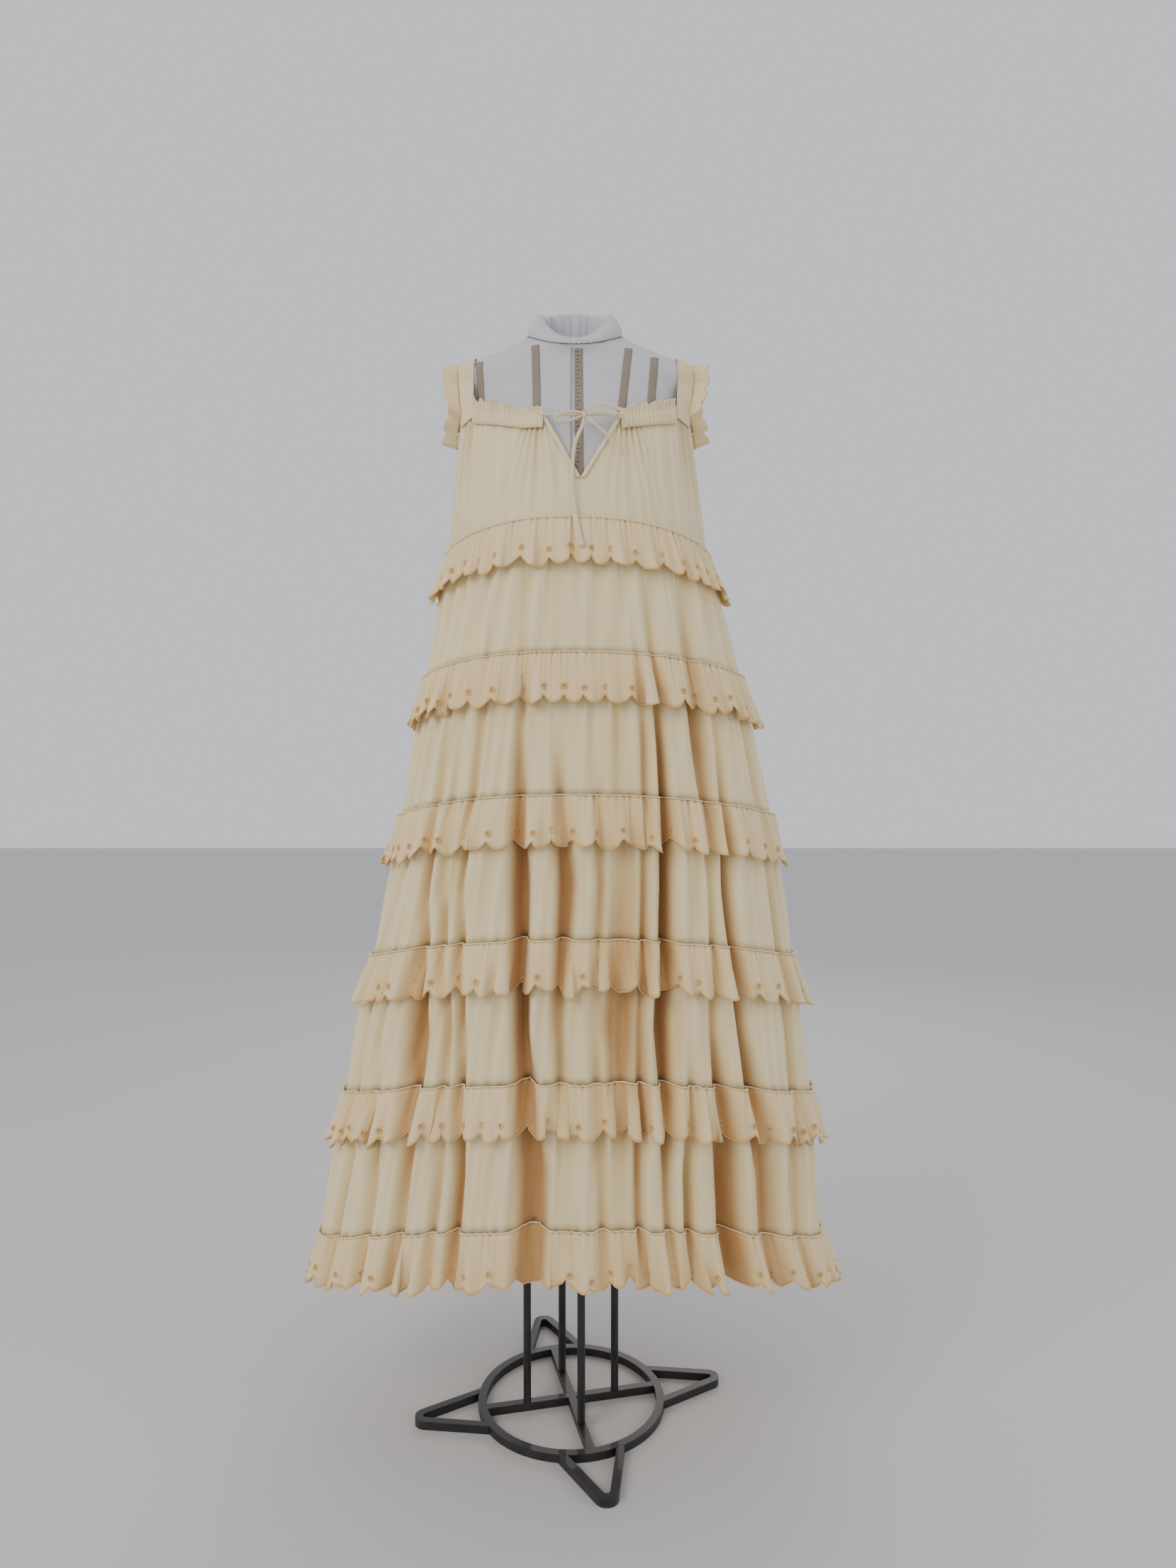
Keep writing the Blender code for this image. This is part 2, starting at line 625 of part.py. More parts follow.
def make_strap(name, side, tree):
    over = strap_rows(tree, side)
    inner = [[p + a * STRAP_LIFT for p, a in row] for row in over]
    outer = [[p + a * (STRAP_LIFT + WALL) for p, a in row] for row in over]
    for front in (True, False):
        towards = -90 if front else 90
        lean = side if front else -side
        angles = [math.radians(towards + lean * turn) for turn in STRAP_TURNS]
        edge = [bodice_point(a, 0.0) + Vector((0, 0, GAP)) for a in angles]
        rim = sorted(edge, key=lambda p: p.x)
        inside = moved_out(rim if front else rim[::-1], -WALL, False)
        ends = list(zip(rim, inside if front else inside[::-1]))
        if side < 0:
            ends = ends[::-1]
        place = 0 if front else len(outer)
        outer.insert(place, [Vector(out) for out, _ in ends])
        inner.insert(place, [Vector(ins) for _, ins in ends])
    return wall(name, outer, inner, COTTON, False), outer


def make_armhole_ruffle(name, side, strap_outer):
    """A scalloped frill along the strap's outer edge and round the top of the side."""
    near = []
    for row in strap_outer[1:-1]:
        aside = Vector((side * FRILL_HALF_WALL, 0, 0))
        near.append((row[-1] + aside, Vector((side, 0, FRILL_LEAN_OVER))))
    near = near[::-1]
    path = []
    for turn in FRILL_TURNS:
        angle = math.radians(-90 + side * turn)
        edge = bodice_point(angle, 0.0)
        out = Vector((edge.x, edge.y * SIDE_PULL, 0)).normalized()
        path.append((edge + out * FRILL_CLEAR, out + Vector((0, 0, FRILL_LEAN_UNDER))))
    loop = path + near
    outer, inner = [], []
    count = len(loop)
    for i, (place, away) in enumerate(loop):
        before, after = loop[i - 1][0], loop[(i + 1) % count][0]
        along = (after - before).normalized()
        up = away.normalized().cross(along).normalized() * side
        tip = place + away.normalized() * FRILL_WIDTH
        outer.append([place + up * FRILL_HALF_WALL, tip + up * FRILL_HALF_WALL])
        inner.append([place - up * FRILL_HALF_WALL, tip - up * FRILL_HALF_WALL])
    return wall(name, list(zip(*outer)), list(zip(*inner)), EDGE, True)


# Drawstring

def smooth_route(points, per_span=6):
    """Points on a smooth curve through the route's own points."""
    route = [Vector(p) for p in points]
    padded = [route[0] * 2 - route[1]] + route + [route[-1] * 2 - route[-2]]
    made = []
    for a, b, c, d in zip(padded, padded[1:], padded[2:], padded[3:]):
        for i in range(per_span):
            t = i / per_span
            made.append(
                0.5
                * (
                    2 * b
                    + (c - a) * t
                    + (2 * a - 5 * b + 4 * c - d) * t * t
                    + (3 * b - a - 3 * c + d) * t ** 3
                )
            )
    return made + [route[-1]]


def make_string(name, points, radius):
    route = smooth_route(points, 3 if len(points) < 6 else 2)
    curve = bpy.data.curves.new(name, "CURVE")
    curve.dimensions = "3D"
    curve.bevel_depth = radius
    curve.bevel_resolution = 2
    curve.use_fill_caps = True
    line = curve.splines.new("POLY")
    line.points.add(len(route) - 1)
    for point, place in zip(line.points, route):
        point.co = (*place, 1.0)
    curve.materials.append(material(COTTON))
    made = bpy.data.objects.new(name, curve)
    bpy.context.scene.collection.objects.link(made)
    return made


def make_knot():
    mesh = bpy.data.meshes.new("drawstring_knot")
    work = bmesh.new()
    bmesh.ops.create_uvsphere(work, u_segments=12, v_segments=8, radius=KNOT["radius"])
    bmesh.ops.translate(work, verts=work.verts, vec=Vector(KNOT["place"]))
    work.to_mesh(mesh)
    work.free()
    mesh.shade_smooth()
    mesh.materials.append(material(COTTON))
    made = bpy.data.objects.new("drawstring_knot", mesh)
    bpy.context.scene.collection.objects.link(made)
    return made


# Stand

def polar(radius, angle):
    return Vector((radius * math.cos(angle), radius * math.sin(angle), 0.0))


def extrude_outline(name, outline_points, bottom, top, kind=IRON):
    count = len(outline_points)
    points = [Vector((p.x, p.y, z)) for z in (bottom, top) for p in outline_points]
    faces = [tuple(range(count)), tuple(range(count, 2 * count))]
    faces += [(i, (i + 1) % count, count + (i + 1) % count, count + i) for i in range(count)]
    return add_mesh(name, points, faces, kind)


def make_base_ring():
    sides = 64
    outer = [[polar(RING_RADIUS, 2 * math.pi * i / sides) + Vector((0, 0, z)) for i in range(sides)]
             for z in (BAR, 0.0)]
    inner = [[polar(RING_RADIUS - BAR, 2 * math.pi * i / sides) + Vector((0, 0, z))
              for i in range(sides)] for z in (BAR, 0.0)]
    return wall("base_ring", outer, inner, IRON, True)


def make_bar(name, start, end, angle):
    """A bar across the ring, from start to end along the angle."""
    along, aside = polar(1, angle), polar(1, angle + math.pi / 2)
    corners = [
        along * start - aside * BAR / 2,
        along * end - aside * BAR / 2,
        along * end + aside * BAR / 2,
        along * start + aside * BAR / 2,
    ]
    return extrude_outline(name, corners, 0.0, BAR)


def leg_end(place, target):
    """Where a foot's leg, from its tip towards the target, meets the ring's outer face."""
    step = 0.0002
    direction = (target - place).normalized()
    reach = 0.0
    while (place + direction * reach).length > RING_RADIUS + GAP:
        reach += step
    return place + direction * (reach - step)


def make_foot(name, angle):
    """A bar bent to a rounded triangle, its two ends on the ring."""
    centre = polar(FOOT_REACH - FOOT_TIP_RADIUS, angle)
    start = polar(RING_RADIUS + GAP, angle - FOOT_SPREAD)
    end = polar(RING_RADIUS + GAP, angle + FOOT_SPREAD)
    inset = polar(FOOT_LEG_INSET, angle + math.pi / 2)
    steps = 10
    turns = [angle + (-1 + 2 * i / steps) * FOOT_TIP_ARC for i in range(steps + 1)]
    outer_arc = [centre + polar(FOOT_TIP_RADIUS, turn) for turn in turns]
    inner_arc = [centre + polar(FOOT_TIP_RADIUS - BAR, turn) for turn in turns]
    outline_points = [leg_end(outer_arc[0], start), *outer_arc, leg_end(outer_arc[-1], end)]
    outline_points += [leg_end(inner_arc[-1], end - inset), *inner_arc[::-1]]
    outline_points.append(leg_end(inner_arc[0], start + inset))
    return extrude_outline(name, outline_points, 0.0, BAR)


def make_upright(name, angle):
    sides = 16
    place = polar(UPRIGHT_PLACE, angle)
    rim = [place + polar(UPRIGHT_RADIUS, 2 * math.pi * i / sides) for i in range(sides)]
    return extrude_outline(name, rim, BAR + GAP, FORM_BOTTOM - GAP)


def make_stand():
    make_base_ring()
    reach = RING_RADIUS - BAR - GAP
    make_bar("cross_bar_long", -reach, reach, STAND_TURN)
    quarter = math.pi / 2
    make_bar("cross_bar_front", BAR / 2 + GAP, reach, STAND_TURN - quarter)
    make_bar("cross_bar_back", BAR / 2 + GAP, reach, STAND_TURN + quarter)
    for i, side in enumerate(("right", "back", "left", "front")):
        make_foot(f"foot_{side}", STAND_TURN + i * quarter)
        make_upright(f"upright_{side}", STAND_TURN + i * quarter)


def make_dress(tree):
    make_bodice_front()
    make_bodice_back()
    make_neck_bands()
    make_slit_binding("slit_binding_left", SLIT["left"], -1)
    make_slit_binding("slit_binding_right", SLIT["right"], 1)
    for side, word in ((-1, "left"), (1, "right")):
        _, strap_outer = make_strap(f"strap_{word}", side, tree)
        make_armhole_ruffle(f"armhole_ruffle_{word}", side, strap_outer)
    for number in range(2, 7):
        make_tier(number)
    for number in range(1, 6):
        make_ruffle(number)
    make_hem_ruffle()


def make_drawstring():
    make_knot()
    make_string("drawstring_left", LEFT_STRING, STRING_RADIUS)
    make_string("drawstring_right", RIGHT_STRING, STRING_RADIUS)
    make_string("bow_loop_left", LEFT_LOOP, STRING_RADIUS)
    make_string("bow_loop_right", RIGHT_LOOP, STRING_RADIUS)
    make_string("tail_long", LONG_TAIL, TAIL_RADIUS)
    make_string("tail_short", SHORT_TAIL, STRING_RADIUS)


def main():
    for old in list(bpy.data.objects):
        bpy.data.objects.remove(old, do_unlink=True)
    make_stand()
    torso = make_torso()
    make_collar()
    shape = bmesh.new()
    shape.from_mesh(torso.data)
    tree = BVHTree.FromBMesh(shape)
    shape.free()
    make_arm_cap("form_arm_cap_left", -1, tree)
    make_arm_cap("form_arm_cap_right", 1, tree)
    make_dress(tree)
    make_drawstring()


main()
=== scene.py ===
# %% [markdown]
# # A tiered cotton maxi dress on a dress form
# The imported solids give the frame: where each seam, strap and bar is. This lesson lays the real
# cloth over them. We load the frame first, because every piece below is placed by it.

# %% Load the frame
import math

import bmesh
import bpy
import numpy as np
from mathutils import Euler, Matrix, Vector
from mathutils.bvhtree import BVHTree


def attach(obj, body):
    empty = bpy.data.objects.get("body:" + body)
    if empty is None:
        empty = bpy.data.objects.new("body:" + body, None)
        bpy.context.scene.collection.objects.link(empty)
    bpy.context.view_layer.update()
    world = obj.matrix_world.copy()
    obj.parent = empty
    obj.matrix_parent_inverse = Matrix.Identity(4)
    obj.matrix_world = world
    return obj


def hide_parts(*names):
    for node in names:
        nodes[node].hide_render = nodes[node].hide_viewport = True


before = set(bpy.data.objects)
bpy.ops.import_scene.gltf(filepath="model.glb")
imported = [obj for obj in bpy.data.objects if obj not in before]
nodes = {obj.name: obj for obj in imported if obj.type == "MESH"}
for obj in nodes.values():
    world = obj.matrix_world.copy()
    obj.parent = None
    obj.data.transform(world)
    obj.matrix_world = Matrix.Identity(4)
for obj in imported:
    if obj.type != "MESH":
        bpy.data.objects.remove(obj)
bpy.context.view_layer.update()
BODY = "root"
MM = 0.001
print("frame:", len(nodes), "nodes")

# %% [markdown]
# ## Camera, light and floor
# A dress is judged by the way light falls down its folds. Large soft lights from the front left
# and above leave shadow in the troughs, as daylight in a pale room does; its warm tone is painted shade in the cloth's
# colour.


# %% Small helpers for colour, nodes and meshes
def linear(code):
    """An sRGB hex colour as linear RGBA."""
    parts = [int(code[i : i + 2], 16) / 255 for i in (1, 3, 5)]
    return (*[p / 12.92 if p <= 0.04045 else ((p + 0.055) / 1.055) ** 2.4 for p in parts], 1.0)


def add_node(tree, kind, settings=None, links=None):
    """Adds a node, sets its properties and inputs, and links sockets to its inputs."""
    node = tree.nodes.new(kind)
    for name, value in (settings or {}).items():
        if isinstance(name, int) or name in node.inputs:
            node.inputs[name].default_value = value
        else:
            setattr(node, name, value)
    for name, socket in (links or {}).items():
        tree.links.new(socket, node.inputs[name])
    return node


def finish_piece(obj, kind, stands_for=()):
    """Gives a piece its material, attaches it to the body it rides on and hides the parts it replaces."""
    if kind is not None:
        obj.data.materials.clear()
        obj.data.materials.append(kind)
    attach(obj, BODY)
    if stands_for:
        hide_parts(*stands_for)
    return obj


def link_mesh(name, points, faces, attributes=None):
    mesh = bpy.data.meshes.new(name)
    mesh.from_pydata([], [], [])
    mesh.from_pydata(np.asarray(points, float).tolist(), [], faces)
    for key, values in (attributes or {}).items():
        layer = mesh.attributes.new(key, "FLOAT", "POINT")
        layer.data.foreach_set("value", np.asarray(values, np.float32).ravel())
    mesh.shade_smooth()
    obj = bpy.data.objects.new(name, mesh)
    bpy.context.scene.collection.objects.link(obj)
    return obj


def grid_faces(rows, across, closed):
    """Quads of a grid of rows times across points, which run down and then along."""
    r, c = np.meshgrid(np.arange(rows - 1), np.arange(across if closed else across - 1), indexing="ij")
    d = (c + 1) % across
    quads = np.stack([r * across + c, (r + 1) * across + c, (r + 1) * across + d, r * across + d], -1)
    return quads.reshape(-1, 4).tolist()


def cloth_sheet(name, points, closed, thick, attributes=None):
    """A thin wall from a grid of points, thickened inwards from the outer side."""
    rows, across = points.shape[:2]
    flat = {k: np.broadcast_to(v, (rows, across)).ravel() for k, v in (attributes or {}).items()}
    obj = link_mesh(name, points.reshape(-1, 3), grid_faces(rows, across, closed), flat)
    wall = obj.modifiers.new("thickness", "SOLIDIFY")
    wall.thickness = thick
    wall.offset = -1.0
    return obj


# %% Stage
camera_data = bpy.data.cameras.new("camera")
camera = bpy.data.objects.new("camera", camera_data)
bpy.context.scene.collection.objects.link(camera)
PHOTO_HEIGHT, PHOTO_FOCUS = 2212, 1530  # pixels
camera_data.sensor_width = 36.0
camera_data.lens = PHOTO_FOCUS / PHOTO_HEIGHT * camera_data.sensor_width
camera.location = (0.0254, -1.62, 1.0)
camera.rotation_euler = Euler((math.radians(90 - 2.0), 0, 0))
bpy.context.scene.camera = camera

floor = link_mesh("floor", [(-9, -9, -0.0005), (9, -9, -0.0005), (9, 9, -0.0005), (-9, 9, -0.0005)], [(0, 1, 2, 3)])
floor_paint = bpy.data.materials.new("pale painted floor")
floor_paint.use_nodes = True
floor_paint.node_tree.nodes["Principled BSDF"].inputs["Base Color"].default_value = linear("#C9C8C7")
floor_paint.node_tree.nodes["Principled BSDF"].inputs["Roughness"].default_value = 0.8
floor.data.materials.append(floor_paint)

world = bpy.data.worlds.new("room")
world.use_nodes = True
world.node_tree.nodes["Background"].inputs["Color"].default_value = linear("#D3D4DA")
world.node_tree.nodes["Background"].inputs["Strength"].default_value = 1.17
bpy.context.scene.world = world

LIGHTS = (
    # name, place, aimed at, side, watts
    ("window", (-1.9, -2.2, 2.5), (0, 0, 0.9), 1.8, 46),
    ("room_side", (2.6, -1.0, 1.5), (0, 0, 0.8), 1.6, 12),
    ("room_back", (0.6, 2.4, 2.2), (0, 0, 0.9), 1.8, 20),
)
for name, place, aim, side, watts in LIGHTS:
    lamp = bpy.data.lights.new(name, "AREA")
    lamp.size, lamp.energy = side, watts
    lamp.color = linear("#FFF6EA")[:3]
    holder = bpy.data.objects.new(name, lamp)
    holder.location = place
    holder.rotation_euler = (Vector(aim) - Vector(place)).to_track_quat("-Z", "Y").to_euler()
    bpy.context.scene.collection.objects.link(holder)

# %% [markdown]
# ## The finishes
# The dress is thin crinkled cotton: matt and a little fuzzy. Each mesh of cloth carries an attribute,
# 0 on a ridge and 1 in a trough, and the colour follows it as painted shade: darker and warmer in a
# trough, painted for the shade there and the light that passes through two layers. The crinkle is a noise stretched
# down the cloth.


# %% Cloth materials
def cloth_material(name, ridge, middle, hollow, crinkle_mm=1.6, depth_mm=0.35, sheen=0.25):
    kind = bpy.data.materials.new(name)
    kind.use_nodes = True
    tree = kind.node_tree
    shader = tree.nodes["Principled BSDF"]
    shader.inputs["Roughness"].default_value = 0.88
    shader.inputs["Sheen Weight"].default_value = sheen
    shader.inputs["Sheen Roughness"].default_value = 0.5
    shader.inputs["Specular IOR Level"].default_value = 0.25
    place = add_node(tree, "ShaderNodeTexCoord")
    # Painted shade: the attribute moves the base colour from the ridge colour towards the darker, warmer trough
    # colour; the blotch adds tone that differs at random.
    deep = add_node(tree, "ShaderNodeAttribute", {"attribute_name": "hollow"})
    blotch = add_node(tree, "ShaderNodeTexNoise", {"Scale": 9.0, "Detail": 3.0}, {"Vector": place.outputs["Object"]})
    mixed = add_node(tree, "ShaderNodeMath", {"operation": "MULTIPLY_ADD", 1: 0.34, 2: -0.17}, {0: blotch.outputs["Fac"]})
    total = add_node(tree, "ShaderNodeMath", {"operation": "ADD"}, {0: deep.outputs["Fac"], 1: mixed.outputs["Value"]})
    ramp = add_node(tree, "ShaderNodeValToRGB", links={"Fac": total.outputs["Value"]})
    ramp.color_ramp.elements[0].color = linear(ridge)
    ramp.color_ramp.elements[1].color = linear(hollow)
    ramp.color_ramp.elements.new(0.4).color = linear(middle)
    stretch = add_node(
        tree, "ShaderNodeMapping", {"Scale": (1.0, 1.0, 0.10)}, {"Vector": place.outputs["Object"]}
    )
    crinkle = add_node(
        tree, "ShaderNodeTexNoise", {"Scale": 1.0 / (crinkle_mm * MM), "Detail": 3.0, "Roughness": 0.6},
        {"Vector": stretch.outputs["Vector"]},
    )
    thread = add_node(
        tree, "ShaderNodeTexNoise", {"Scale": 1600.0, "Detail": 1.0}, {"Vector": place.outputs["Object"]}
    )
    both = add_node(
        tree, "ShaderNodeMath", {"operation": "MULTIPLY_ADD", 1: 0.25},
        {0: thread.outputs["Fac"], 2: crinkle.outputs["Fac"]},
    )
    bump = add_node(tree, "ShaderNodeBump", {"Strength": 0.55, "Distance": depth_mm * MM}, {"Height": both.outputs["Value"]})
    tree.links.new(ramp.outputs["Color"], shader.inputs["Base Color"])
    tree.links.new(bump.outputs["Normal"], shader.inputs["Normal"])
    return kind


# The third colour of each cloth is its painted shade, the colour taken in its deepest troughs.
cotton = cloth_material("crinkled cotton", "#EEDFB4", "#E4CF9C", "#C0955F")
# The bodice cotton is given paler colours than the skirt's.
bodice_cotton = cloth_material("crinkled cotton, paler tone", "#ECDFBA", "#E2D1A4", "#C2A06C")
ruffle_cotton = cloth_material("scalloped cotton", "#EFDBB0", "#E3C892", "#BD8F56")
edge_thread = cloth_material("corded edge, overlocked thread", "#E2B878", "#DCAC68", "#C69653", 0.9, 0.3, 0.1)
string_cotton = cloth_material("folded cotton string", "#E2D2B2", "#D6C19A", "#B09066", 1.0, 0.25)
linen = cloth_material("stretched linen cover", "#C6C7CC", "#BDBEC4", "#8F8E92", 0.8, 0.12, 0.1)
tape_cotton = cloth_material("printed measuring tape", "#958879", "#8A7D6F", "#6F6459", 0.8, 0.12, 0.05)
stitch_thread = cloth_material("black linen thread", "#232326", "#1C1C1F", "#121214", 0.5, 0.1, 0.1)


# %% Painted iron
def iron_material():
    kind = bpy.data.materials.new("black painted iron")
    kind.use_nodes = True
    tree = kind.node_tree
    shader = tree.nodes["Principled BSDF"]
    shader.inputs["Coat Weight"].default_value = 0.2
    place = add_node(tree, "ShaderNodeTexCoord")
    wear = add_node(tree, "ShaderNodeTexNoise", {"Scale": 60.0, "Detail": 5.0}, {"Vector": place.outputs["Object"]})
    ramp = add_node(tree, "ShaderNodeValToRGB", links={"Fac": wear.outputs["Fac"]})
    ramp.color_ramp.elements[0].position = 0.35
    ramp.color_ramp.elements[0].color = linear("#17171A")
    ramp.color_ramp.elements[1].position = 0.8
    ramp.color_ramp.elements[1].color = linear("#2E2B2A")
    rough = add_node(tree, "ShaderNodeMapRange", {"To Min": 0.38, "To Max": 0.6}, {"Value": wear.outputs["Fac"]})
    bump = add_node(tree, "ShaderNodeBump", {"Strength": 0.3, "Distance": 0.3 * MM}, {"Height": wear.outputs["Fac"]})
    tree.links.new(ramp.outputs["Color"], shader.inputs["Base Color"])
    tree.links.new(rough.outputs["Result"], shader.inputs["Roughness"])
    tree.links.new(bump.outputs["Normal"], shader.inputs["Normal"])
    return kind


iron = iron_material()
for name in nodes:
    if name.split("_")[0] in ("base", "cross", "foot", "upright"):
        nodes[name].data.materials.clear()
        nodes[name].data.materials.append(iron)

# %% [markdown]
# ## The shape of the dress
# One function gives every point of the skirt: an outline that widens from seam to seam, drawn in
# by troughs that run down it. The troughs are listed one row each, with their angle,
# depth and width at four heights, because real folds are uneven. The same rows shaped the solids.

# %% Outline and troughs
SQUARENESS = 0.9
SIDE_TO_FRONT_POWER = 1.5
OUTLINE = np.array(
    (
        # level, z front, z side, x left, x right, y front, y back
        (0.0, 1.4620, 1.4380, 0.166, 0.181, 0.118, 0.115),
        (1.0, 1.3070, 1.2700, 0.181, 0.203, 0.150, 0.135),
        (2.0, 1.1255, 1.0960, 0.214, 0.253, 0.165, 0.155),
        (3.0, 0.9340, 0.8960, 0.251, 0.2985, 0.175, 0.170),
        (4.0, 0.7400, 0.6900, 0.294, 0.331, 0.185, 0.185),
        (5.0, 0.5490, 0.4900, 0.336, 0.360, 0.195, 0.200),
        (6.0, 0.3550, 0.2770, 0.375, 0.375, 0.205, 0.215),
        (6.4, 0.2800, 0.2070, 0.391, 0.397, 0.215, 0.225),
    )
)
FOLD_LEVELS = (2.6, 3.6, 4.6, 5.6)
FOLD_START = 1.0
FOLDS = (
    # angles in degrees (-180 left, -90 front, 0 right), depths in mm, half widths in degrees
    ((-158, -160, -160, -153), (4, 6, 9, 12), (4.0, 4.0, 4.0, 3.0)),
    ((-146, -147, -147, -138), (3, 4, 6, 13), (3.0, 3.0, 3.0, 2.0)),
    ((-136, -134.8, -130, -127), (8, 16, 34, 16), (2.0, 2.2, 4.2, 2.0)),
    ((-128, -127.5, -119, -117.7), (5, 12, 14, 12), (1.6, 1.6, 1.4, 1.4)),
    ((-119, -120.3, -115, -112.2), (10, 16, 16, 22), (1.6, 1.5, 1.3, 1.4)),
    ((-104.5, -102, -100, -96.4), (10, 40, 40, 35), (2.0, 2.4, 1.7, 2.8)),
    ((-93, -90.7, -91.9, -90.5), (4, 34, 22, 4), (1.6, 1.8, 1.2, 1.4)),
    ((-84.5, -83.6, -86, -84.5), (4, 16, 8, 14), (1.4, 1.2, 1.2, 1.2)),
    ((-77.5, -78.3, -80.6, -80.4), (5, 12, 28, 8), (3.2, 3.8, 3.6, 2.6)),
    ((-71, -73.0, -75.3, -77.0), (12, 18, 20, 18), (1.3, 1.3, 1.2, 1.1)),
    ((-65.5, -67.2, -70.3, -71.0), (22, 40, 44, 15), (1.6, 1.6, 1.9, 1.3)),
    ((-59.5, -60.5, -63.5, -66.3), (2, 3, 4, 20), (1.6, 1.6, 1.6, 1.3)),
    ((-51, -54.0, -57.4, -55.5), (26, 12, 14, 44), (3.0, 1.5, 1.4, 3.3)),
    ((-44, -48.4, -48.3, -43.0), (4, 30, 30, 22), (1.8, 1.8, 1.7, 4.2)),
    ((-25, -25.8, -25.6, -30.5), (6, 12, 14, 12), (3.0, 3.0, 3.0, 3.4)),
    ((-7, -6, -5, -8), (4, 7, 9, 8), (3.0, 3.0, 3.0, 3.0)),
    ((16, 17, 18, 16), (6, 10, 14, 16), (3.0, 3.0, 3.0, 3.0)),
    ((33, 35, 34, 36), (5, 16, 18, 20), (2.0, 2.2, 2.2, 2.4)),
    ((47, 48, 50, 49), (16, 30, 34, 30), (2.0, 2.2, 2.2, 2.6)),
    ((60, 61, 59, 60), (6, 14, 16, 22), (1.8, 1.8, 1.8, 1.8)),
    ((70, 71, 72, 70), (14, 32, 40, 36), (2.0, 2.2, 2.2, 2.4)),
    ((81, 82, 83, 84), (5, 14, 18, 20), (1.8, 1.8, 1.8, 1.8)),
    ((92, 92, 94, 93), (10, 34, 36, 32), (2.0, 2.2, 2.4, 2.2)),
    ((104, 103, 104, 105), (5, 12, 18, 18), (1.8, 1.8, 1.8, 1.8)),
    ((114, 115, 114, 116), (14, 32, 40, 38), (2.0, 2.2, 2.2, 2.4)),
    ((127, 128, 127, 126), (6, 18, 20, 22), (2.0, 2.0, 2.0, 2.0)),
    ((141, 141, 143, 142), (10, 20, 26, 28), (2.6, 2.6, 2.8, 2.8)),
    ((160, 161, 161, 160), (5, 9, 12, 14), (3.0, 3.0, 3.0, 3.0)),
    ((174, 175, 174, 174), (3, 5, 7, 8), (3.0, 3.0, 3.0, 3.0)),
)
# A trough this deep takes the full painted shade, the darkest colour of its cloth.
FULL_SHADE_DEPTH = 26 * MM  # a trough this deep takes the darkest colour


def outline(level, angle):
    level, angle = np.broadcast_arrays(level, angle)
    values = [np.interp(level, OUTLINE[:, 0], OUTLINE[:, i]) for i in range(1, 7)]
    z_front, z_side, x_left, x_right, y_front, y_back = values
    c, s = np.cos(angle), np.sin(angle)
    x = np.sign(c) * np.abs(c) ** SQUARENESS * np.where(c < 0, x_left, x_right)
    y = np.sign(s) * np.abs(s) ** SQUARENESS * np.where(s < 0, y_front, y_back)
    z = z_side + (z_front - z_side) * np.abs(s) ** SIDE_TO_FRONT_POWER
    return np.stack([x, y, z], -1)


def fold_depth(level, angle):
    """How far the troughs draw the cloth in, in metres."""
    total = np.zeros(np.broadcast(level, angle).shape)
    grown = np.clip((level - FOLD_START) / (FOLD_LEVELS[0] - FOLD_START), 0, 1) ** 1.5
    for angles, depths, widths in FOLDS:
        turn = np.degrees(angle) - np.interp(level, FOLD_LEVELS, angles)
        turn = (turn + 180) % 360 - 180
        width = np.interp(level, FOLD_LEVELS, widths)
        total = total + np.interp(level, FOLD_LEVELS, depths) * np.exp(-(np.abs(turn / width) ** 2.4))
    return MM * total * grown


def outward(place):
    out = np.stack([place[..., 0], place[..., 1] * 2.2, np.zeros(place.shape[:-1])], -1)
    return out / np.linalg.norm(out, axis=-1, keepdims=True)


def skirt(level, angle, share=1.0, flare=0.0):
    """Points of the skirt, with a share of the troughs' depth, moved out by flare."""
    place = outline(level, angle)
    return place + outward(place) * (flare - share * fold_depth(level, angle))[..., None]


# %% [markdown]
# Gathers and ripples are too many to place by hand. A ripple is a few sine waves of nearly the
# same length added together, which drift in and out of step as real gathers do. The waves fit a
# whole number of times round the dress, so there is no jump where the ring closes.


# %% Ripples and arc length
def ripple(along, around, wave, seed, parts=5, spread=0.35):
    """An uneven wave from -1 to 1 against the distance along a ring that is around metres long."""
    random = np.random.default_rng(seed)
    total = np.zeros(np.shape(along))
    for _ in range(parts):
        count = max(1, round(around / (wave * random.uniform(1 - spread, 1 + spread))))
        total = total + np.sin(2 * np.pi * (count * along / around + random.uniform()))
    return total / parts ** 0.5 / 1.4


def ring_length(level, angles):
    """Distance along the unfolded outline at each angle, and the whole way round."""
    loop = outline(level, np.append(angles, angles[0] + 2 * np.pi))
    steps = np.linalg.norm(np.diff(loop, axis=0), axis=1)
    return np.concatenate([[0], np.cumsum(steps)[:-1]]), steps.sum()


AROUND = 1080  # points round the skirt
angles = np.linspace(-np.pi, np.pi, AROUND, endpoint=False)

# %% [markdown]
# ## The tiers
# Each tier is a straight strip, gathered onto the tier above. Its gathers are tight at the seam
# and fade down the strip, so they are drawn inwards near the top, and long soft ripples take over.

# %% Tiers
TIER_ROWS = 20
GATHER = {"wave": 0.010, "depth": 0.0034, "fade": 0.34}
PLEAT = {"wave": 0.021, "depth": 0.0030}
SOFT = {"wave": 0.048, "depth": 0.0034}
SHELL = 0.9 * MM
SEAM_GAP = 0.15 * MM


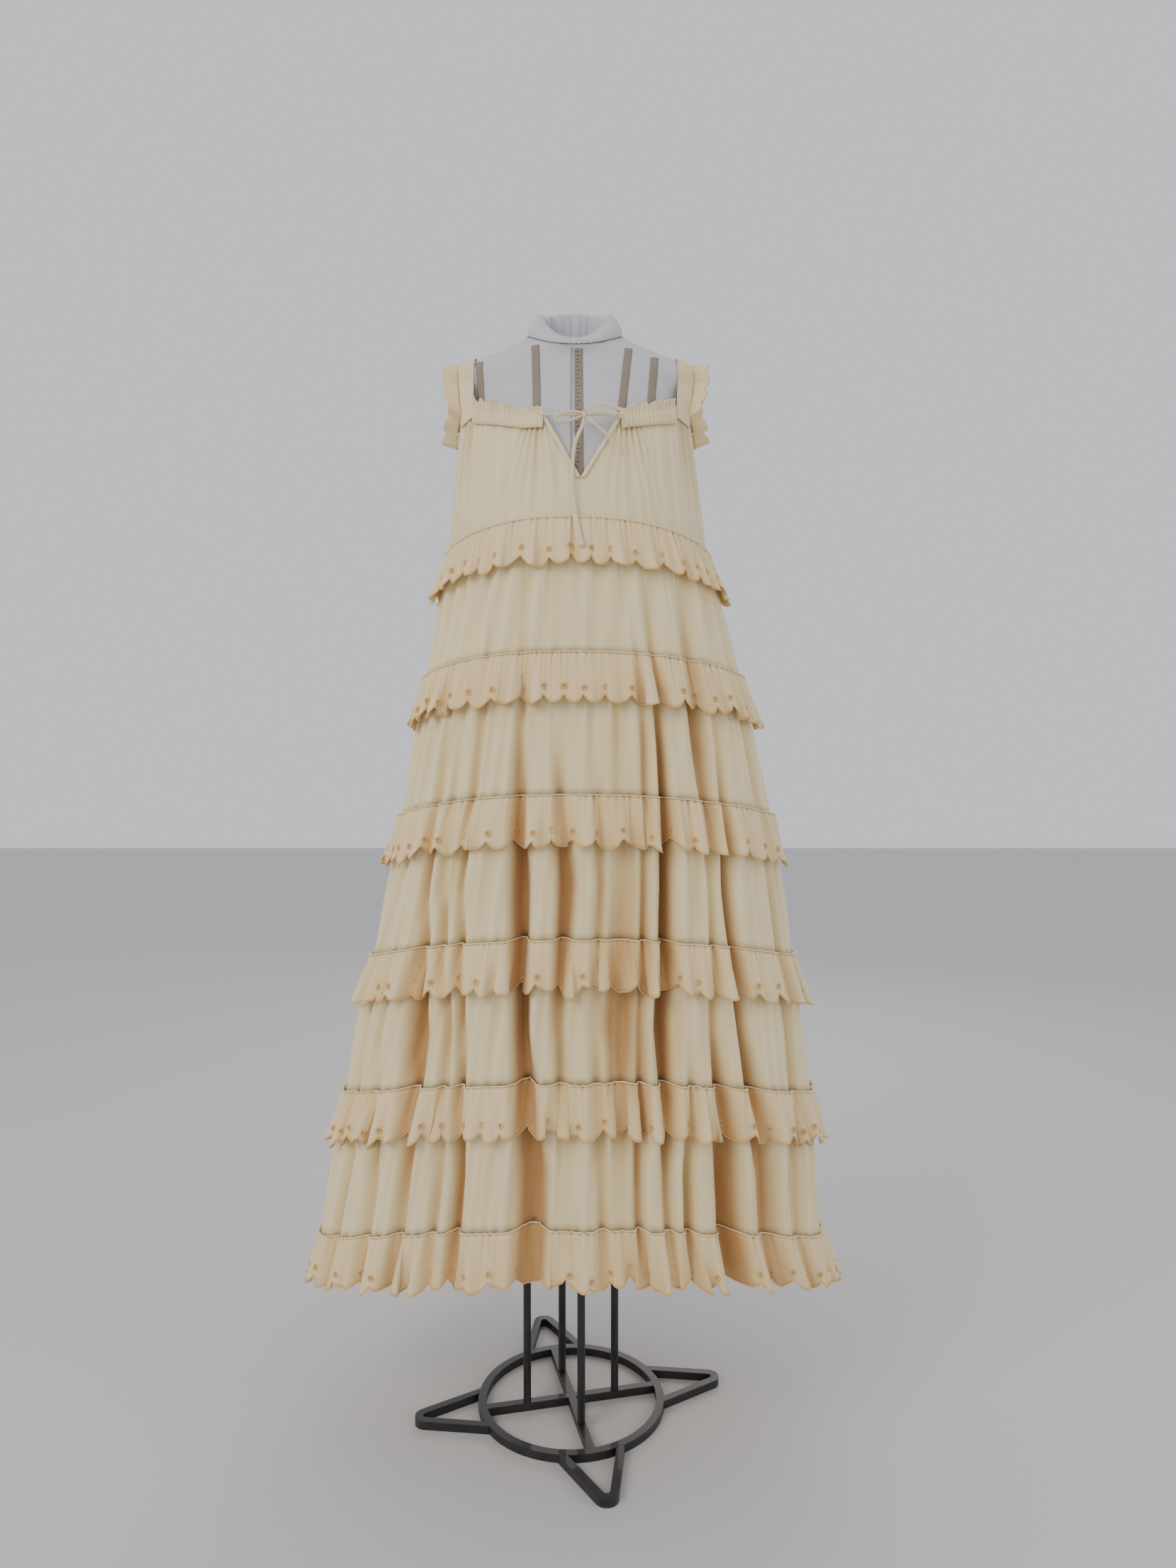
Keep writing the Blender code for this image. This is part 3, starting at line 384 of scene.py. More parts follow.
def tier_points(number):
    top = number - 1
    down = np.linspace(0, 1, TIER_ROWS)[:, None] ** 1.25
    level = top + down
    along, around = ring_length(number - 0.5, angles)
    fine = 0.5 + 0.5 * ripple(along, around, GATHER["wave"], 10 + number)[None, :]
    soft = ripple(along + 0.02 * down, around, SOFT["wave"], 20 + number)
    pleat = 0.5 + 0.5 * ripple(along + 0.01 * down, around, PLEAT["wave"], 60 + number)
    drawn = GATHER["depth"] * np.exp(-down / GATHER["fade"]) * fine
    drawn = drawn + PLEAT["depth"] * np.clip(6 * down, 0, 1) * pleat
    drawn = drawn - SOFT["depth"] * soft * np.sin(np.pi * np.clip(down, 0, 1)) ** 0.8
    points = skirt(level, angles[None, :])
    points = points - outward(points) * drawn[..., None]
    points[0, :, 2] -= SEAM_GAP
    points[-1, :, 2] += SEAM_GAP
    # Painted shade: darker in the troughs and gathers, by how deep they are.
    hollow = np.clip((fold_depth(level, angles[None, :]) + 1.5 * drawn) / FULL_SHADE_DEPTH, 0, 1)
    return points, hollow, around


def declare_sheet(points, closed, folded=False):
    """Works out the developed length of the middle row, doubled when folded; nothing keeps it."""
    middle = points[len(points) // 2]
    loop = np.concatenate([middle, middle[:1]]) if closed else middle
    long = float(np.linalg.norm(np.diff(loop, axis=0), axis=1).sum())
    if folded:
        long = 2 * long


for number in range(2, 7):
    points, hollow, _ = tier_points(number)
    piece = cloth_sheet(f"cloth_tier_{number}", points, True, SHELL, {"hollow": hollow})
    finish_piece(piece, cotton, [f"tier_{number}"])
    declare_sheet(points, True)

# %% [markdown]
# ## Scalloped ruffles
# A ruffle hangs from each seam and one finishes the hem. It flutes out as it falls, and its edge
# is cut in round scallops with an overlocked cord. Above each notch sits an embroidered flower
# round a small eyelet. Geometry Nodes place the flowers, because there are hundreds of them.

# %% Ruffles
RUFFLE_DROP = 0.36
RUFFLE_FLARE = 0.014
RUFFLE_ROWS = 14
SCALLOP = {"pitch": 0.031, "depth": 0.0115}
FLUTE = {"wave": 0.034, "depth": 0.0085, "roll": 0.0060}
FLOWER_ABOVE_NOTCH = 0.012


def scallop_rise(along, around, seed):
    """How far the scalloped edge rises, and how many scallops go round."""
    count = round(around / SCALLOP["pitch"])
    sway = 0.22 * np.sin(2 * np.pi * 7 * along / around + seed) / count * around / SCALLOP["pitch"]
    turn = (count * along / around + sway) % 1.0
    return SCALLOP["depth"] * np.abs(2 * turn - 1) ** 2.4, turn


def ruffle_points(number, down, angle=None):
    """Points of ruffle number at the shares down, from its seam to its scalloped edge."""
    angle = angles if angle is None else angle
    hem = number == 6
    reach = 0.4 if hem else RUFFLE_DROP
    level_mid = number + reach
    along, around = ring_length(min(level_mid, 6.4), angle)
    rise, turn = scallop_rise(along, around, number)
    drop = outline(float(number), angle)[:, 2] - outline(level_mid, angle)[:, 2]
    uneven = 0.0045 * ripple(along, around, 0.08, 50 + number)
    full = 1.0 - (rise + uneven + 0.002) / drop
    share_down = down[:, None] * full[None, :]
    level = number + reach * share_down
    wave = ripple(along, around, FLUTE["wave"], 30 + number, parts=4)
    flute = 0.5 + 0.5 * wave
    fine = 0.5 + 0.5 * ripple(along, around, 0.0095, 40 + number)
    out = RUFFLE_FLARE * share_down ** 0.8 * (0.3 if hem else 0.75)
    out = out + FLUTE["depth"] * share_down ** 0.9 * wave[None, :]
    gather = np.exp(-share_down / 0.55) * fine[None, :]
    out = out + 0.0040 * gather + (0.0 if hem else 0.0016)
    share = np.ones_like(share_down) if hem else 1 - 0.3 * share_down
    points = skirt(level, angle[None, :], share, out)
    points[..., 2] -= SEAM_GAP
    ahead = np.roll(points, -1, 1) - np.roll(points, 1, 1)
    ahead /= np.linalg.norm(ahead, axis=2, keepdims=True)
    slope = (np.roll(wave, -1) - np.roll(wave, 1)) / (2 * around / len(angle))
    roll = -FLUTE["roll"] * 2 * wave * slope * FLUTE["wave"] / (2 * np.pi)
    points = points + ahead * (roll[None, :] * share_down)[..., None]
    depth = share * fold_depth(level, angle[None, :])
    # Painted shade: darker in the troughs, in the hollows between flutes and between the fine gathers near the seam.
    shade = 0.012 * (1 - flute[None, :]) * share_down + 0.008 * np.exp(-share_down / 0.55) * (1 - fine)
    hollow = np.clip((depth + shade) / FULL_SHADE_DEPTH, 0, 1)
    return points, hollow, turn


def tube_along(name, route, radius, closed=True, sides=6):
    """A round cord along a route of points."""
    ahead = np.roll(route, -1, 0) - np.roll(route, 1, 0)
    if not closed:
        ahead[0], ahead[-1] = route[1] - route[0], route[-1] - route[-2]
    ahead /= np.linalg.norm(ahead, axis=1, keepdims=True)
    side = np.cross(ahead, (0, 0, 1.0))
    side /= np.maximum(np.linalg.norm(side, axis=1, keepdims=True), 1e-9)
    up = np.cross(side, ahead)
    turn = np.linspace(0, 2 * np.pi, sides, endpoint=False)[:, None, None]
    rings = route[None] + radius * (np.cos(turn) * side[None] + np.sin(turn) * up[None])
    points = rings.transpose(1, 0, 2)
    count = len(route)
    faces = []
    for r in range(count if closed else count - 1):
        for c in range(sides):
            a, b = r * sides, (r + 1) % count * sides
            d = (c + 1) % sides
            faces.append((a + c, a + d, b + d, b + c))
    if not closed:
        faces.append(tuple(range(sides))[::-1])
        faces.append(tuple((count - 1) * sides + c for c in range(sides)))
    return link_mesh(name, points.reshape(-1, 3), faces)


flower_places = []
for number in range(1, 7):
    points, hollow, turn = ruffle_points(number, np.linspace(0, 1, RUFFLE_ROWS) ** 0.9)
    word = "ruffle_6_hem" if number == 6 else f"ruffle_{number}"
    piece = cloth_sheet(f"cloth_{word}", points, True, SHELL, {"hollow": hollow * 0.9})
    finish_piece(piece, ruffle_cotton, [word])
    declare_sheet(points, True)
    cord = tube_along(f"cloth_{word}_edge", points[-1], 0.95 * MM)
    finish_piece(cord, edge_thread)
    notches = np.flatnonzero((turn < 0.5) & (np.roll(turn, 1) > 0.5))
    tall = points[0, notches, 2] - points[-1, notches, 2]
    share = 1 - FLOWER_ABOVE_NOTCH / tall
    for i, k in enumerate(notches):
        at = share[i] * (RUFFLE_ROWS - 1) ** 1.0
        row = int(np.clip(at, 0, RUFFLE_ROWS - 2))
        place = points[row, k] + (points[row + 1, k] - points[row, k]) * (at - row)
        across = points[row, (k + 2) % AROUND] - points[row, k - 2]
        below = points[row + 1, k] - points[row, k]
        normal = np.cross(below, across)
        flower_places.append((place, normal / np.linalg.norm(normal)))
print("flowers:", len(flower_places))


# %% Flowers by Geometry Nodes
def flower_mesh():
    """A raised ring of six stitched petals round a dark eyelet, lying in the XY plane."""
    petals, ring_radius = 6, 3.3 * MM
    turns, sides = 24, 5
    points, faces = [], []
    for i in range(turns):
        a = 2 * math.pi * i / turns
        reach = ring_radius * (1 + 0.24 * math.cos(petals * a))
        thick = 1.05 * MM * (1 + 0.30 * math.cos(petals * a))
        for j in range(sides):
            b = 2 * math.pi * j / sides
            radius = reach + thick * math.cos(b)
            points.append((radius * math.cos(a), radius * math.sin(a), 0.75 * thick * math.sin(b)))
    for i in range(turns):
        for j in range(sides):
            a, b, d = i * sides, (i + 1) % turns * sides, (j + 1) % sides
            faces.append((a + j, b + j, b + d, a + d))
    return points, faces


def place_copies(name, source, places, kind, size=1.0):
    """Sets a copy of source at each place, its +Z along the place's normal, by Geometry Nodes."""
    carrier = bpy.data.meshes.new(name)
    carrier.from_pydata([tuple(p) for p, _ in places], [], [])
    turns = carrier.attributes.new("turn", "FLOAT_VECTOR", "POINT")
    for i, (_, normal) in enumerate(places):
        turns.data[i].vector = Vector(normal).to_track_quat("Z", "Y").to_euler()[:]
    obj = bpy.data.objects.new(name, carrier)
    bpy.context.scene.collection.objects.link(obj)
    tree = bpy.data.node_groups.new(name + " copies", "GeometryNodeTree")
    tree.interface.new_socket("Geometry", in_out="INPUT", socket_type="NodeSocketGeometry")
    tree.interface.new_socket("Size", in_out="INPUT", socket_type="NodeSocketFloat")
    tree.interface.new_socket("Geometry", in_out="OUTPUT", socket_type="NodeSocketGeometry")
    start = add_node(tree, "NodeGroupInput")
    turn = add_node(tree, "GeometryNodeInputNamedAttribute", {"data_type": "FLOAT_VECTOR", "Name": "turn"})
    shape = add_node(tree, "GeometryNodeObjectInfo", {"Object": source})
    copies = add_node(
        tree, "GeometryNodeInstanceOnPoints", None,
        {
            "Points": start.outputs["Geometry"],
            "Instance": shape.outputs["Geometry"],
            "Rotation": turn.outputs["Attribute"],
            "Scale": start.outputs["Size"],
        },
    )
    real = add_node(tree, "GeometryNodeRealizeInstances", None, {"Geometry": copies.outputs["Instances"]})
    paint = add_node(tree, "GeometryNodeSetMaterial", {"Material": kind}, {"Geometry": real.outputs["Geometry"]})
    end = add_node(tree, "NodeGroupOutput")
    tree.links.new(paint.outputs["Geometry"], end.inputs["Geometry"])
    modifier = obj.modifiers.new("copies", "NODES")
    modifier.node_group = tree
    size_socket = next(s for s in tree.interface.items_tree if s.name == "Size")
    modifier[size_socket.identifier] = size
    bpy.context.view_layer.update()
    result = bpy.data.meshes.new_from_object(obj.evaluated_get(bpy.context.evaluated_depsgraph_get()))
    bpy.data.objects.remove(obj)
    plain = bpy.data.objects.new(name, result)
    bpy.context.scene.collection.objects.link(plain)
    result.shade_smooth()
    return finish_piece(plain, kind)


petal_points, petal_faces = flower_mesh()
flower = link_mesh("flower_source", petal_points, petal_faces)
lifted = [(p + 0.5 * MM * n, n) for p, n in flower_places]
place_copies("cloth_flowers", flower, lifted, edge_thread)
bpy.data.objects.remove(flower)
disc = link_mesh(
    "eyelet_source",
    [(0, 0, 0)] + [(1.7 * MM * math.cos(k * math.pi / 5), 1.7 * MM * math.sin(k * math.pi / 5), 0) for k in range(10)],
    [(0, 1 + k, 1 + (k + 1) % 10) for k in range(10)],
)
eyelet_shade = cloth_material("eyelet, the cloth behind in shade", "#C09A66", "#B48C58", "#9A7446", 0.8, 0.1, 0.0)
place_copies("cloth_eyelets", disc, [(p + 0.15 * MM * n, n) for p, n in flower_places], eyelet_shade)
bpy.data.objects.remove(disc)

# %% [markdown]
# ## Seam ridges
# Where a tier, the tier below and a ruffle meet, the seam is turned up and topstitched, and it
# shows as a fine raised line. A thin cord along the seam gives it.

# %% Seam ridges
for number in range(1, 7):
    points, _, _ = ruffle_points(number, np.array([0.0, 0.03]))
    ridge = points[0] + outward(points[0]) * 0.3 * MM + np.array([0, 0, 1.3 * MM])
    piece = tube_along(f"cloth_seam_{number}", ridge, 1.05 * MM)
    finish_piece(piece, ruffle_cotton)

# %% [markdown]
# ## The bodice
# The front is one piece with a V slit. Pleats run out from the slit's two corners, where the
# casing is drawn up by the string, and from the corners at the straps.

# %% Bodice surface
TOP_EDGE = np.array(
    (
        # turn from centre front in degrees, height of the top edge
        (0, 1.4580),
        (20, 1.4590),
        (53, 1.4820),
        (67, 1.4740),
        (80, 1.4480),
        (90, 1.4380),
        (100, 1.4480),
        (113, 1.4740),
        (127, 1.4820),
        (180, 1.4700),
    )
)
SLIT = {"left": -0.036, "right": 0.070, "point": 0.0155, "bottom": 0.62}


def bodice(angle, fraction):
    """Points of the bodice: fraction 0 is its top edge, 1 the first seam."""
    angle, fraction = np.broadcast_arrays(angle, fraction)
    place = outline(fraction, angle)
    turn = np.abs((np.degrees(angle) + 90 + 180) % 360 - 180)
    top = np.interp(turn, TOP_EDGE[:, 0], TOP_EDGE[:, 1])
    place[..., 2] = top + (outline(1.0, angle)[..., 2] - top) * fraction
    return place


front_angles = np.radians(np.linspace(-179.9, -0.1, 2401))


def angle_at(x, fraction=0.0):
    """The angle on the front where the bodice stands at this x."""
    return np.interp(x, bodice(front_angles, fraction)[:, 0], front_angles)


LEFT, RIGHT, POINT = (float(angle_at(SLIT[key])) for key in ("left", "right", "point"))


def slit_top(angle):
    falling = SLIT["bottom"] * (angle - LEFT) / (POINT - LEFT)
    rising = SLIT["bottom"] * (RIGHT - angle) / (RIGHT - POINT)
    return np.clip(np.where(angle < POINT, falling, rising), 0, None) * ((angle > LEFT) & (angle < RIGHT))


PLEATS = (
    # centre angle at the top in degrees, fan to the left and right in degrees at the seam, folds, depth in mm
    (math.degrees(LEFT) - 3.5, -17, 12, 6, 5.2),
    (math.degrees(RIGHT) + 3.5, -11, 17, 6, 5.4),
    (-147, -22, 7, 7, 6.0),
    (-30, -6, 22, 7, 6.2),
    (147, -6, 20, 5, 3.0),
    (33, -20, 6, 5, 3.0),
)


def pleat_depth(angle, fraction):
    """Pleats that fan out downwards from a drawn-up corner."""
    total = np.zeros(np.broadcast(angle, fraction).shape)
    for centre, left, right, count, depth in PLEATS:
        turn = (np.degrees(angle) - centre + 180) % 360 - 180
        low = -5.0 + left * fraction
        high = 5.0 + right * fraction
        inside = (turn - low) / (high - low)
        wave = 0.5 - 0.5 * np.cos(2 * np.pi * count * np.clip(inside, 0, 1))
        fade = np.sin(np.pi * np.clip(inside, 0, 1)) ** 0.5 * np.exp(-fraction / 0.55)
        total = total + depth * MM * wave * fade
    return total


def bodice_sheet(name, low, high, columns, rows, node, with_slit):
    span = np.radians(np.linspace(low, high, columns))
    if with_slit:
        for mark in (LEFT, POINT, RIGHT):
            span[np.abs(span - mark).argmin()] = mark
    start = slit_top(span) if with_slit else np.zeros(columns)
    share = np.linspace(0, 1, rows)[:, None]
    fraction = start[None, :] + (1 - start[None, :]) * share
    points = bodice(span[None, :], fraction)
    along = span * 0.19
    soft = ripple(along, 1.2, 0.030, 61) * 0.0011 + ripple(along, 1.2, 0.012, 62) * 0.0005
    inwards = pleat_depth(span[None, :], fraction) + 0.0016 + soft[None, :] * np.sin(np.pi * fraction) ** 0.5
    points = points - outward(points) * inwards[..., None]
    points[-1, :, 2] += SEAM_GAP
    # Painted shade: darker in the pleats, by how far the cloth is drawn in.
    piece = cloth_sheet(name, points, False, 0.8 * MM, {"hollow": np.clip(inwards / 0.008, 0, 1) * 0.8})
    finish_piece(piece, bodice_cotton, [node])
    declare_sheet(points, False)


bodice_sheet("cloth_bodice_front", -179.9, -0.1, 520, 46, "bodice_front", True)
bodice_sheet("cloth_bodice_back", 0.1, 179.9, 420, 40, "bodice_back", False)

# %% [markdown]
# ## Neck casing, slit binding and straps
# The casing is a tube of cloth sewn along the neck, with 10 mm left above it as a small frill.
# It is gathered on the string, so it is full of short upright pleats.


# %% Casing and binding
def casing(name, low, high, node):
    columns = max(60, int(abs(high - low) * 6))
    span = np.radians(np.linspace(low, high, columns))
    share = np.linspace(0, 1, 22)[:, None]
    fraction = -0.035 + 0.185 * share
    points = bodice(span[None, :], fraction)
    along = span * 0.17
    fine = 0.5 + 0.5 * ripple(along, 1.1, 0.0065, hash_seed(name))
    tube = np.exp(-(((share - 0.66) / 0.26) ** 4)) * 0.0016
    stitched = np.exp(-(((share - 0.36) / 0.035) ** 2)) + np.exp(-(((share - 0.97) / 0.035) ** 2))
    frill = np.clip(0.34 - share, 0, 1) / 0.34 * ripple(along, 1.1, 0.014, 5)[None, :] * 0.0035
    out = 0.0012 + tube + 0.0014 * fine[None, :] - 0.0006 * stitched + np.abs(frill)
    points = points + outward(points) * out[..., None]
    points[..., 2] += 0.0022 * ripple(along, 1.1, 0.017, 6)[None, :] * np.clip(0.3 - share, 0, 1) / 0.3
    # Painted shade: darker between the gathers and along the two stitched grooves.
    piece = cloth_sheet(name, points, False, 0.8 * MM, {"hollow": 0.5 * (1 - fine[None, :]) + 0.25 * stitched})
    finish_piece(piece, bodice_cotton, [node])
    declare_sheet(points, False)


def hash_seed(name):
    return sum(ord(letter) for letter in name)


BINDING = 0.0060
left_end = math.degrees(angle_at(SLIT["left"])) + 0.2
right_end = math.degrees(angle_at(SLIT["right"])) - 0.2
casing("cloth_neck_band_left", -142, left_end, "neck_band_front_left")
casing("cloth_neck_band_right", right_end, -38, "neck_band_front_right")
casing("cloth_neck_band_back", 38, 142, "neck_band_back")


def slit_edge(name, edge_x, side, node):
    share = np.linspace(0, 1, 40)
    route = []
    for s in share:
        fraction = 0.06 + (SLIT["bottom"] - 0.06) * s
        x = edge_x + (SLIT["point"] - edge_x) * fraction / SLIT["bottom"]
        row = []
        for c in np.linspace(-0.05, 1.0, 9):
            place = bodice(np.array(angle_at(x + side * BINDING * c, fraction)), np.array(fraction))
            bulge = 0.0014 * math.sin(math.pi * min(max(c, 0), 1)) ** 0.5
            row.append(place + outward(place) * (0.0005 + bulge))
        route.append(row if side > 0 else row[::-1])
    points = np.array(route)
    piece = cloth_sheet(name, points, False, 0.6 * MM, {"hollow": 0.1})
    finish_piece(piece, bodice_cotton, [node])
    declare_sheet(points, False, True)


slit_edge("cloth_slit_binding_left", SLIT["left"], -1, "slit_binding_left")
slit_edge("cloth_slit_binding_right", SLIT["right"], 1, "slit_binding_right")

# %% [markdown]
# A strap lies on the form. Rays from outside find the form's surface at each tilt about a line
# through the shoulder, and the strap is set just outside it, shirred along its length.

# %% Straps and armhole ruffles
FORM_MIDDLE = 0.008
STRAP = {"inner": 0.146, "outer": 0.170, "sweep": 100.0, "turns": (53.0, 67.0), "reach": 0.12}
STRAP_PIVOT = (0.010, 1.532)
form_mesh = nodes["form_torso"].data
form_tree = BVHTree.FromPolygons([v.co for v in form_mesh.vertices], [tuple(p.vertices) for p in form_mesh.polygons])


def strap_surface(side, columns):
    """A grid down the front, over the shoulder and down the back: rows along, columns across."""
    tilts = np.radians(np.linspace(-STRAP["sweep"], STRAP["sweep"], 41))
    reach = np.linspace(STRAP["inner"], STRAP["outer"], columns)
    grid = np.zeros((len(tilts), columns, 3))
    for c, away_x in enumerate(reach):
        radii = []
        for tilt in tilts:
            away = Vector((0, math.sin(tilt), math.cos(tilt)))
            start = Vector((FORM_MIDDLE + side * away_x, *STRAP_PIVOT)) + away * STRAP["reach"]
            hit = form_tree.ray_cast(start, -away)[0]
            radii.append(0.03 if hit is None else STRAP["reach"] - (hit - start).length)
        smooth = np.convolve(np.pad(np.maximum.reduce([radii, np.roll(radii, 1), np.roll(radii, -1)]), 3, "edge"), np.ones(7) / 7, "valid")
        smooth = np.maximum(smooth, radii) + 0.0018
        grid[:, c, 0] = FORM_MIDDLE + side * away_x
        grid[:, c, 1] = STRAP_PIVOT[0] + np.sin(tilts) * smooth
        grid[:, c, 2] = STRAP_PIVOT[1] + np.cos(tilts) * smooth
    ends = []
    for towards, lean in ((-90, side), (90, -side)):
        turns = np.linspace(*STRAP["turns"], columns)
        edge = bodice(np.radians(towards + lean * turns), np.array(0.10))
        ends.append(edge + outward(edge) * -0.0002)
    front, back = ends
    rows = 24
    share = np.linspace(0, 1, rows, endpoint=False)[:, None, None]
    down_front = front[None] + (grid[0][None] - front[None]) * share
    down_back = grid[-1][None] + (back[None] - grid[-1][None]) * np.linspace(0, 1, rows + 1)[1:, None, None]
    return np.concatenate([down_front, grid, down_back])


strap_grids = {}
for side, word in ((-1, "left"), (1, "right")):
    columns = 49
    grid = strap_surface(side, columns)
    strap_grids[word] = grid
    across = np.linspace(0, 1, columns)[None, :]
    along = np.linspace(0, 1, len(grid))[:, None]
    shirr = np.sin(2 * np.pi * (7.2 * across + 0.25 * np.sin(9 * along + 3 * across)))
    step = np.gradient(grid, axis=0)
    wide = np.gradient(grid, axis=1)
    normal = np.cross(wide, step) * side
    normal /= np.maximum(np.linalg.norm(normal, axis=2, keepdims=True), 1e-9)
    outside = np.sign((normal * (grid - np.array([FORM_MIDDLE + side * 0.158, 0.01, 1.50]))).sum(2, keepdims=True))
    points = grid + normal * outside * (0.0012 * (0.5 + 0.5 * shirr))[..., None]
    points = points if side < 0 else points[:, ::-1]
    # Painted shade: darker in the troughs of the shirring.
    hollow = 0.45 * (0.5 - 0.5 * (shirr if side < 0 else shirr[:, ::-1]))
    piece = cloth_sheet(f"cloth_strap_{word}", points, False, 0.9 * MM, {"hollow": hollow})
    finish_piece(piece, bodice_cotton, [f"strap_{word}"])
    declare_sheet(points, False)


def armhole_ruffle(side, word):
    """A scalloped frill round the armhole: down the strap's outer edge and under the arm."""
    grid = strap_grids[word]
    edge = grid[20:-20, -1] + np.array([side * 0.0012, 0, 0])
    lean = np.tile([side, 0, 0.15], (len(edge), 1))
    turns = np.linspace(112, 68, 60)
    under = bodice(np.radians(-90 + side * turns), np.array(0.0))
    out = outward(under)
    low_path, low_lean = under + out * 0.0015, out + np.array([0, 0, 0.45])
    path = np.concatenate([edge, low_path])
    away = np.concatenate([lean, low_lean])
    steps = np.linalg.norm(np.roll(path, -1, 0) - path, axis=1)
    total = steps.sum()
    at = np.concatenate([[0], np.cumsum(steps)[:-1]])
    even = np.linspace(0, total, 360, endpoint=False)
    path = np.stack([np.interp(even, np.append(at, total), np.append(path[:, k], path[0, k])) for k in range(3)], 1)
    away = np.stack([np.interp(even, np.append(at, total), np.append(away[:, k], away[0, k])) for k in range(3)], 1)
    for _ in range(6):
        away = (np.roll(away, 1, 0) + away + np.roll(away, -1, 0)) / 3
    away /= np.linalg.norm(away, axis=1, keepdims=True)
    ahead = np.roll(path, -1, 0) - np.roll(path, 1, 0)
    ahead /= np.linalg.norm(ahead, axis=1, keepdims=True)
    lift = np.cross(ahead, away)
    count = round(total / 0.030)
    turn = (count * even / total) % 1.0
    width = 0.0215 - 0.0065 * np.abs(2 * turn - 1) ** 2.4
    share = np.linspace(0, 1, 12)
    wave = ripple(even, total, 0.030, 70 + side) * 0.0035
    grid = path[None] + away[None] * (share[:, None] * width[None])[..., None]
    grid = grid + lift[None] * (share[:, None] ** 1.3 * wave[None])[..., None]
    grid = grid if side < 0 else grid[:, ::-1]
    # Painted shade: darker towards the sewn edge, where the frill meets the bodice.
    piece = cloth_sheet(f"cloth_armhole_ruffle_{word}", grid, True, 0.7 * MM, {"hollow": 0.25 * (1 - share[:, None])})
    finish_piece(piece, ruffle_cotton, [f"armhole_ruffle_{word}"])
    declare_sheet(grid, True)
    cord = tube_along(f"cloth_armhole_edge_{word}", grid[-1], 0.8 * MM)
    finish_piece(cord, edge_thread)


armhole_ruffle(-1, "left")
armhole_ruffle(1, "right")

# %% [markdown]
# ## The drawstring
# A narrow folded strip of the same cotton is tied in a small bow. The strings and loops are round
# enough to be cords; the tails are flat ribbons. The routes repeat those of the solids.

# %% Drawstring
LEFT_STRING = ((-0.0390, -0.1212, 1.4530), (-0.0130, -0.1258, 1.4515), (0.0145, -0.1275, 1.4508))
RIGHT_STRING = ((0.0255, -0.1275, 1.4508), (0.0480, -0.1255, 1.4508), (0.0730, -0.1174, 1.4500))
LEFT_LOOP = (
    (0.0161, -0.1306, 1.4480),
    (0.0080, -0.1335, 1.4440),
    (-0.0040, -0.1340, 1.4400),
    (-0.0140, -0.1350, 1.4395),
    (-0.0185, -0.1360, 1.4430),
    (-0.0150, -0.1365, 1.4475),
    (-0.0040, -0.1360, 1.4510),
    (0.0080, -0.1345, 1.4530),
    (0.0160, -0.1310, 1.4523),
)
RIGHT_LOOP = (
    (0.0231, -0.1306, 1.4540),
    (0.0330, -0.1345, 1.4610),
    (0.0440, -0.1350, 1.4640),
    (0.0560, -0.1345, 1.4620),
    (0.0670, -0.1340, 1.4570),
    (0.0720, -0.1340, 1.4520),
    (0.0660, -0.1345, 1.4500),
    (0.0540, -0.1345, 1.4530),
    (0.0400, -0.1340, 1.4550),
    (0.0250, -0.1311, 1.4500),
)
LONG_TAIL = (
    (0.0200, -0.1297, 1.4454),
    (0.0170, -0.1335, 1.4330),
    (0.0080, -0.1350, 1.4120),
    (0.0050, -0.1385, 1.3900),
    (0.0040, -0.1425, 1.3700),
    (0.0032, -0.1475, 1.3530),
    (0.0050, -0.1510, 1.3320),
    (0.0080, -0.1560, 1.3080),
    (0.0110, -0.1640, 1.2880),
    (0.0165, -0.1720, 1.2660),
)
SHORT_TAIL = (
    (0.0235, -0.1300, 1.4469),
    (0.0350, -0.1335, 1.4370),
    (0.0490, -0.1315, 1.4250),
    (0.0620, -0.1285, 1.4110),
    (0.0690, -0.1270, 1.3990),
)


def smooth_route(points, per_span=8):
    """Points on a smooth curve through the route's own points."""
    p = np.array(points, float)
    padded = np.concatenate([[2 * p[0] - p[1]], p, [2 * p[-1] - p[-2]]])
    made = []
    for a, b, c, d in zip(padded, padded[1:], padded[2:], padded[3:]):
        for t in np.arange(per_span) / per_span:
            made.append(0.5 * (2 * b + (c - a) * t + (2 * a - 5 * b + 4 * c - d) * t ** 2 + (3 * b - a - 3 * c + d) * t ** 3))
    return np.array(made + [p[-1]])


def ribbon(name, route, widths, thick, twist=0.0):
    """A flat folded strip along a route, with its faces turned to the front and a soft crease."""
    route = smooth_route(route)
    ahead = np.gradient(route, axis=0)
    ahead /= np.linalg.norm(ahead, axis=1, keepdims=True)
    side = np.cross(ahead, (0, -1.0, 0))
    side /= np.linalg.norm(side, axis=1, keepdims=True)
    front = np.cross(side, ahead)
    share = np.linspace(0, 1, len(route))
    lean = twist * np.sin(2.2 * np.pi * share)
    aside = side * np.cos(lean)[:, None] + front * np.sin(lean)[:, None]
    face = np.cross(ahead, aside)
    half = np.interp(share, np.linspace(0, 1, len(widths)), widths) / 2
    section = [(math.cos(a), math.sin(a)) for a in np.linspace(0, 2 * np.pi, 12, endpoint=False)]
    rings = np.stack(
        [route + aside * (half * u * (1 - 0.12 * v * v))[:, None] + face * (thick / 2 * v) for u, v in section], 1
    )
    count, sides = rings.shape[:2]
    faces = [
        (r * sides + c, r * sides + (c + 1) % sides, (r + 1) * sides + (c + 1) % sides, (r + 1) * sides + c)
        for r in range(count - 1)
        for c in range(sides)
    ]
    faces += [tuple(range(sides))[::-1], tuple((count - 1) * sides + c for c in range(sides))]
    obj = link_mesh(name, rings.reshape(-1, 3), faces)
    fix = bmesh.new()
    fix.from_mesh(obj.data)
    bmesh.ops.recalc_face_normals(fix, faces=fix.faces)
    fix.to_mesh(obj.data)
    fix.free()
    return obj, route


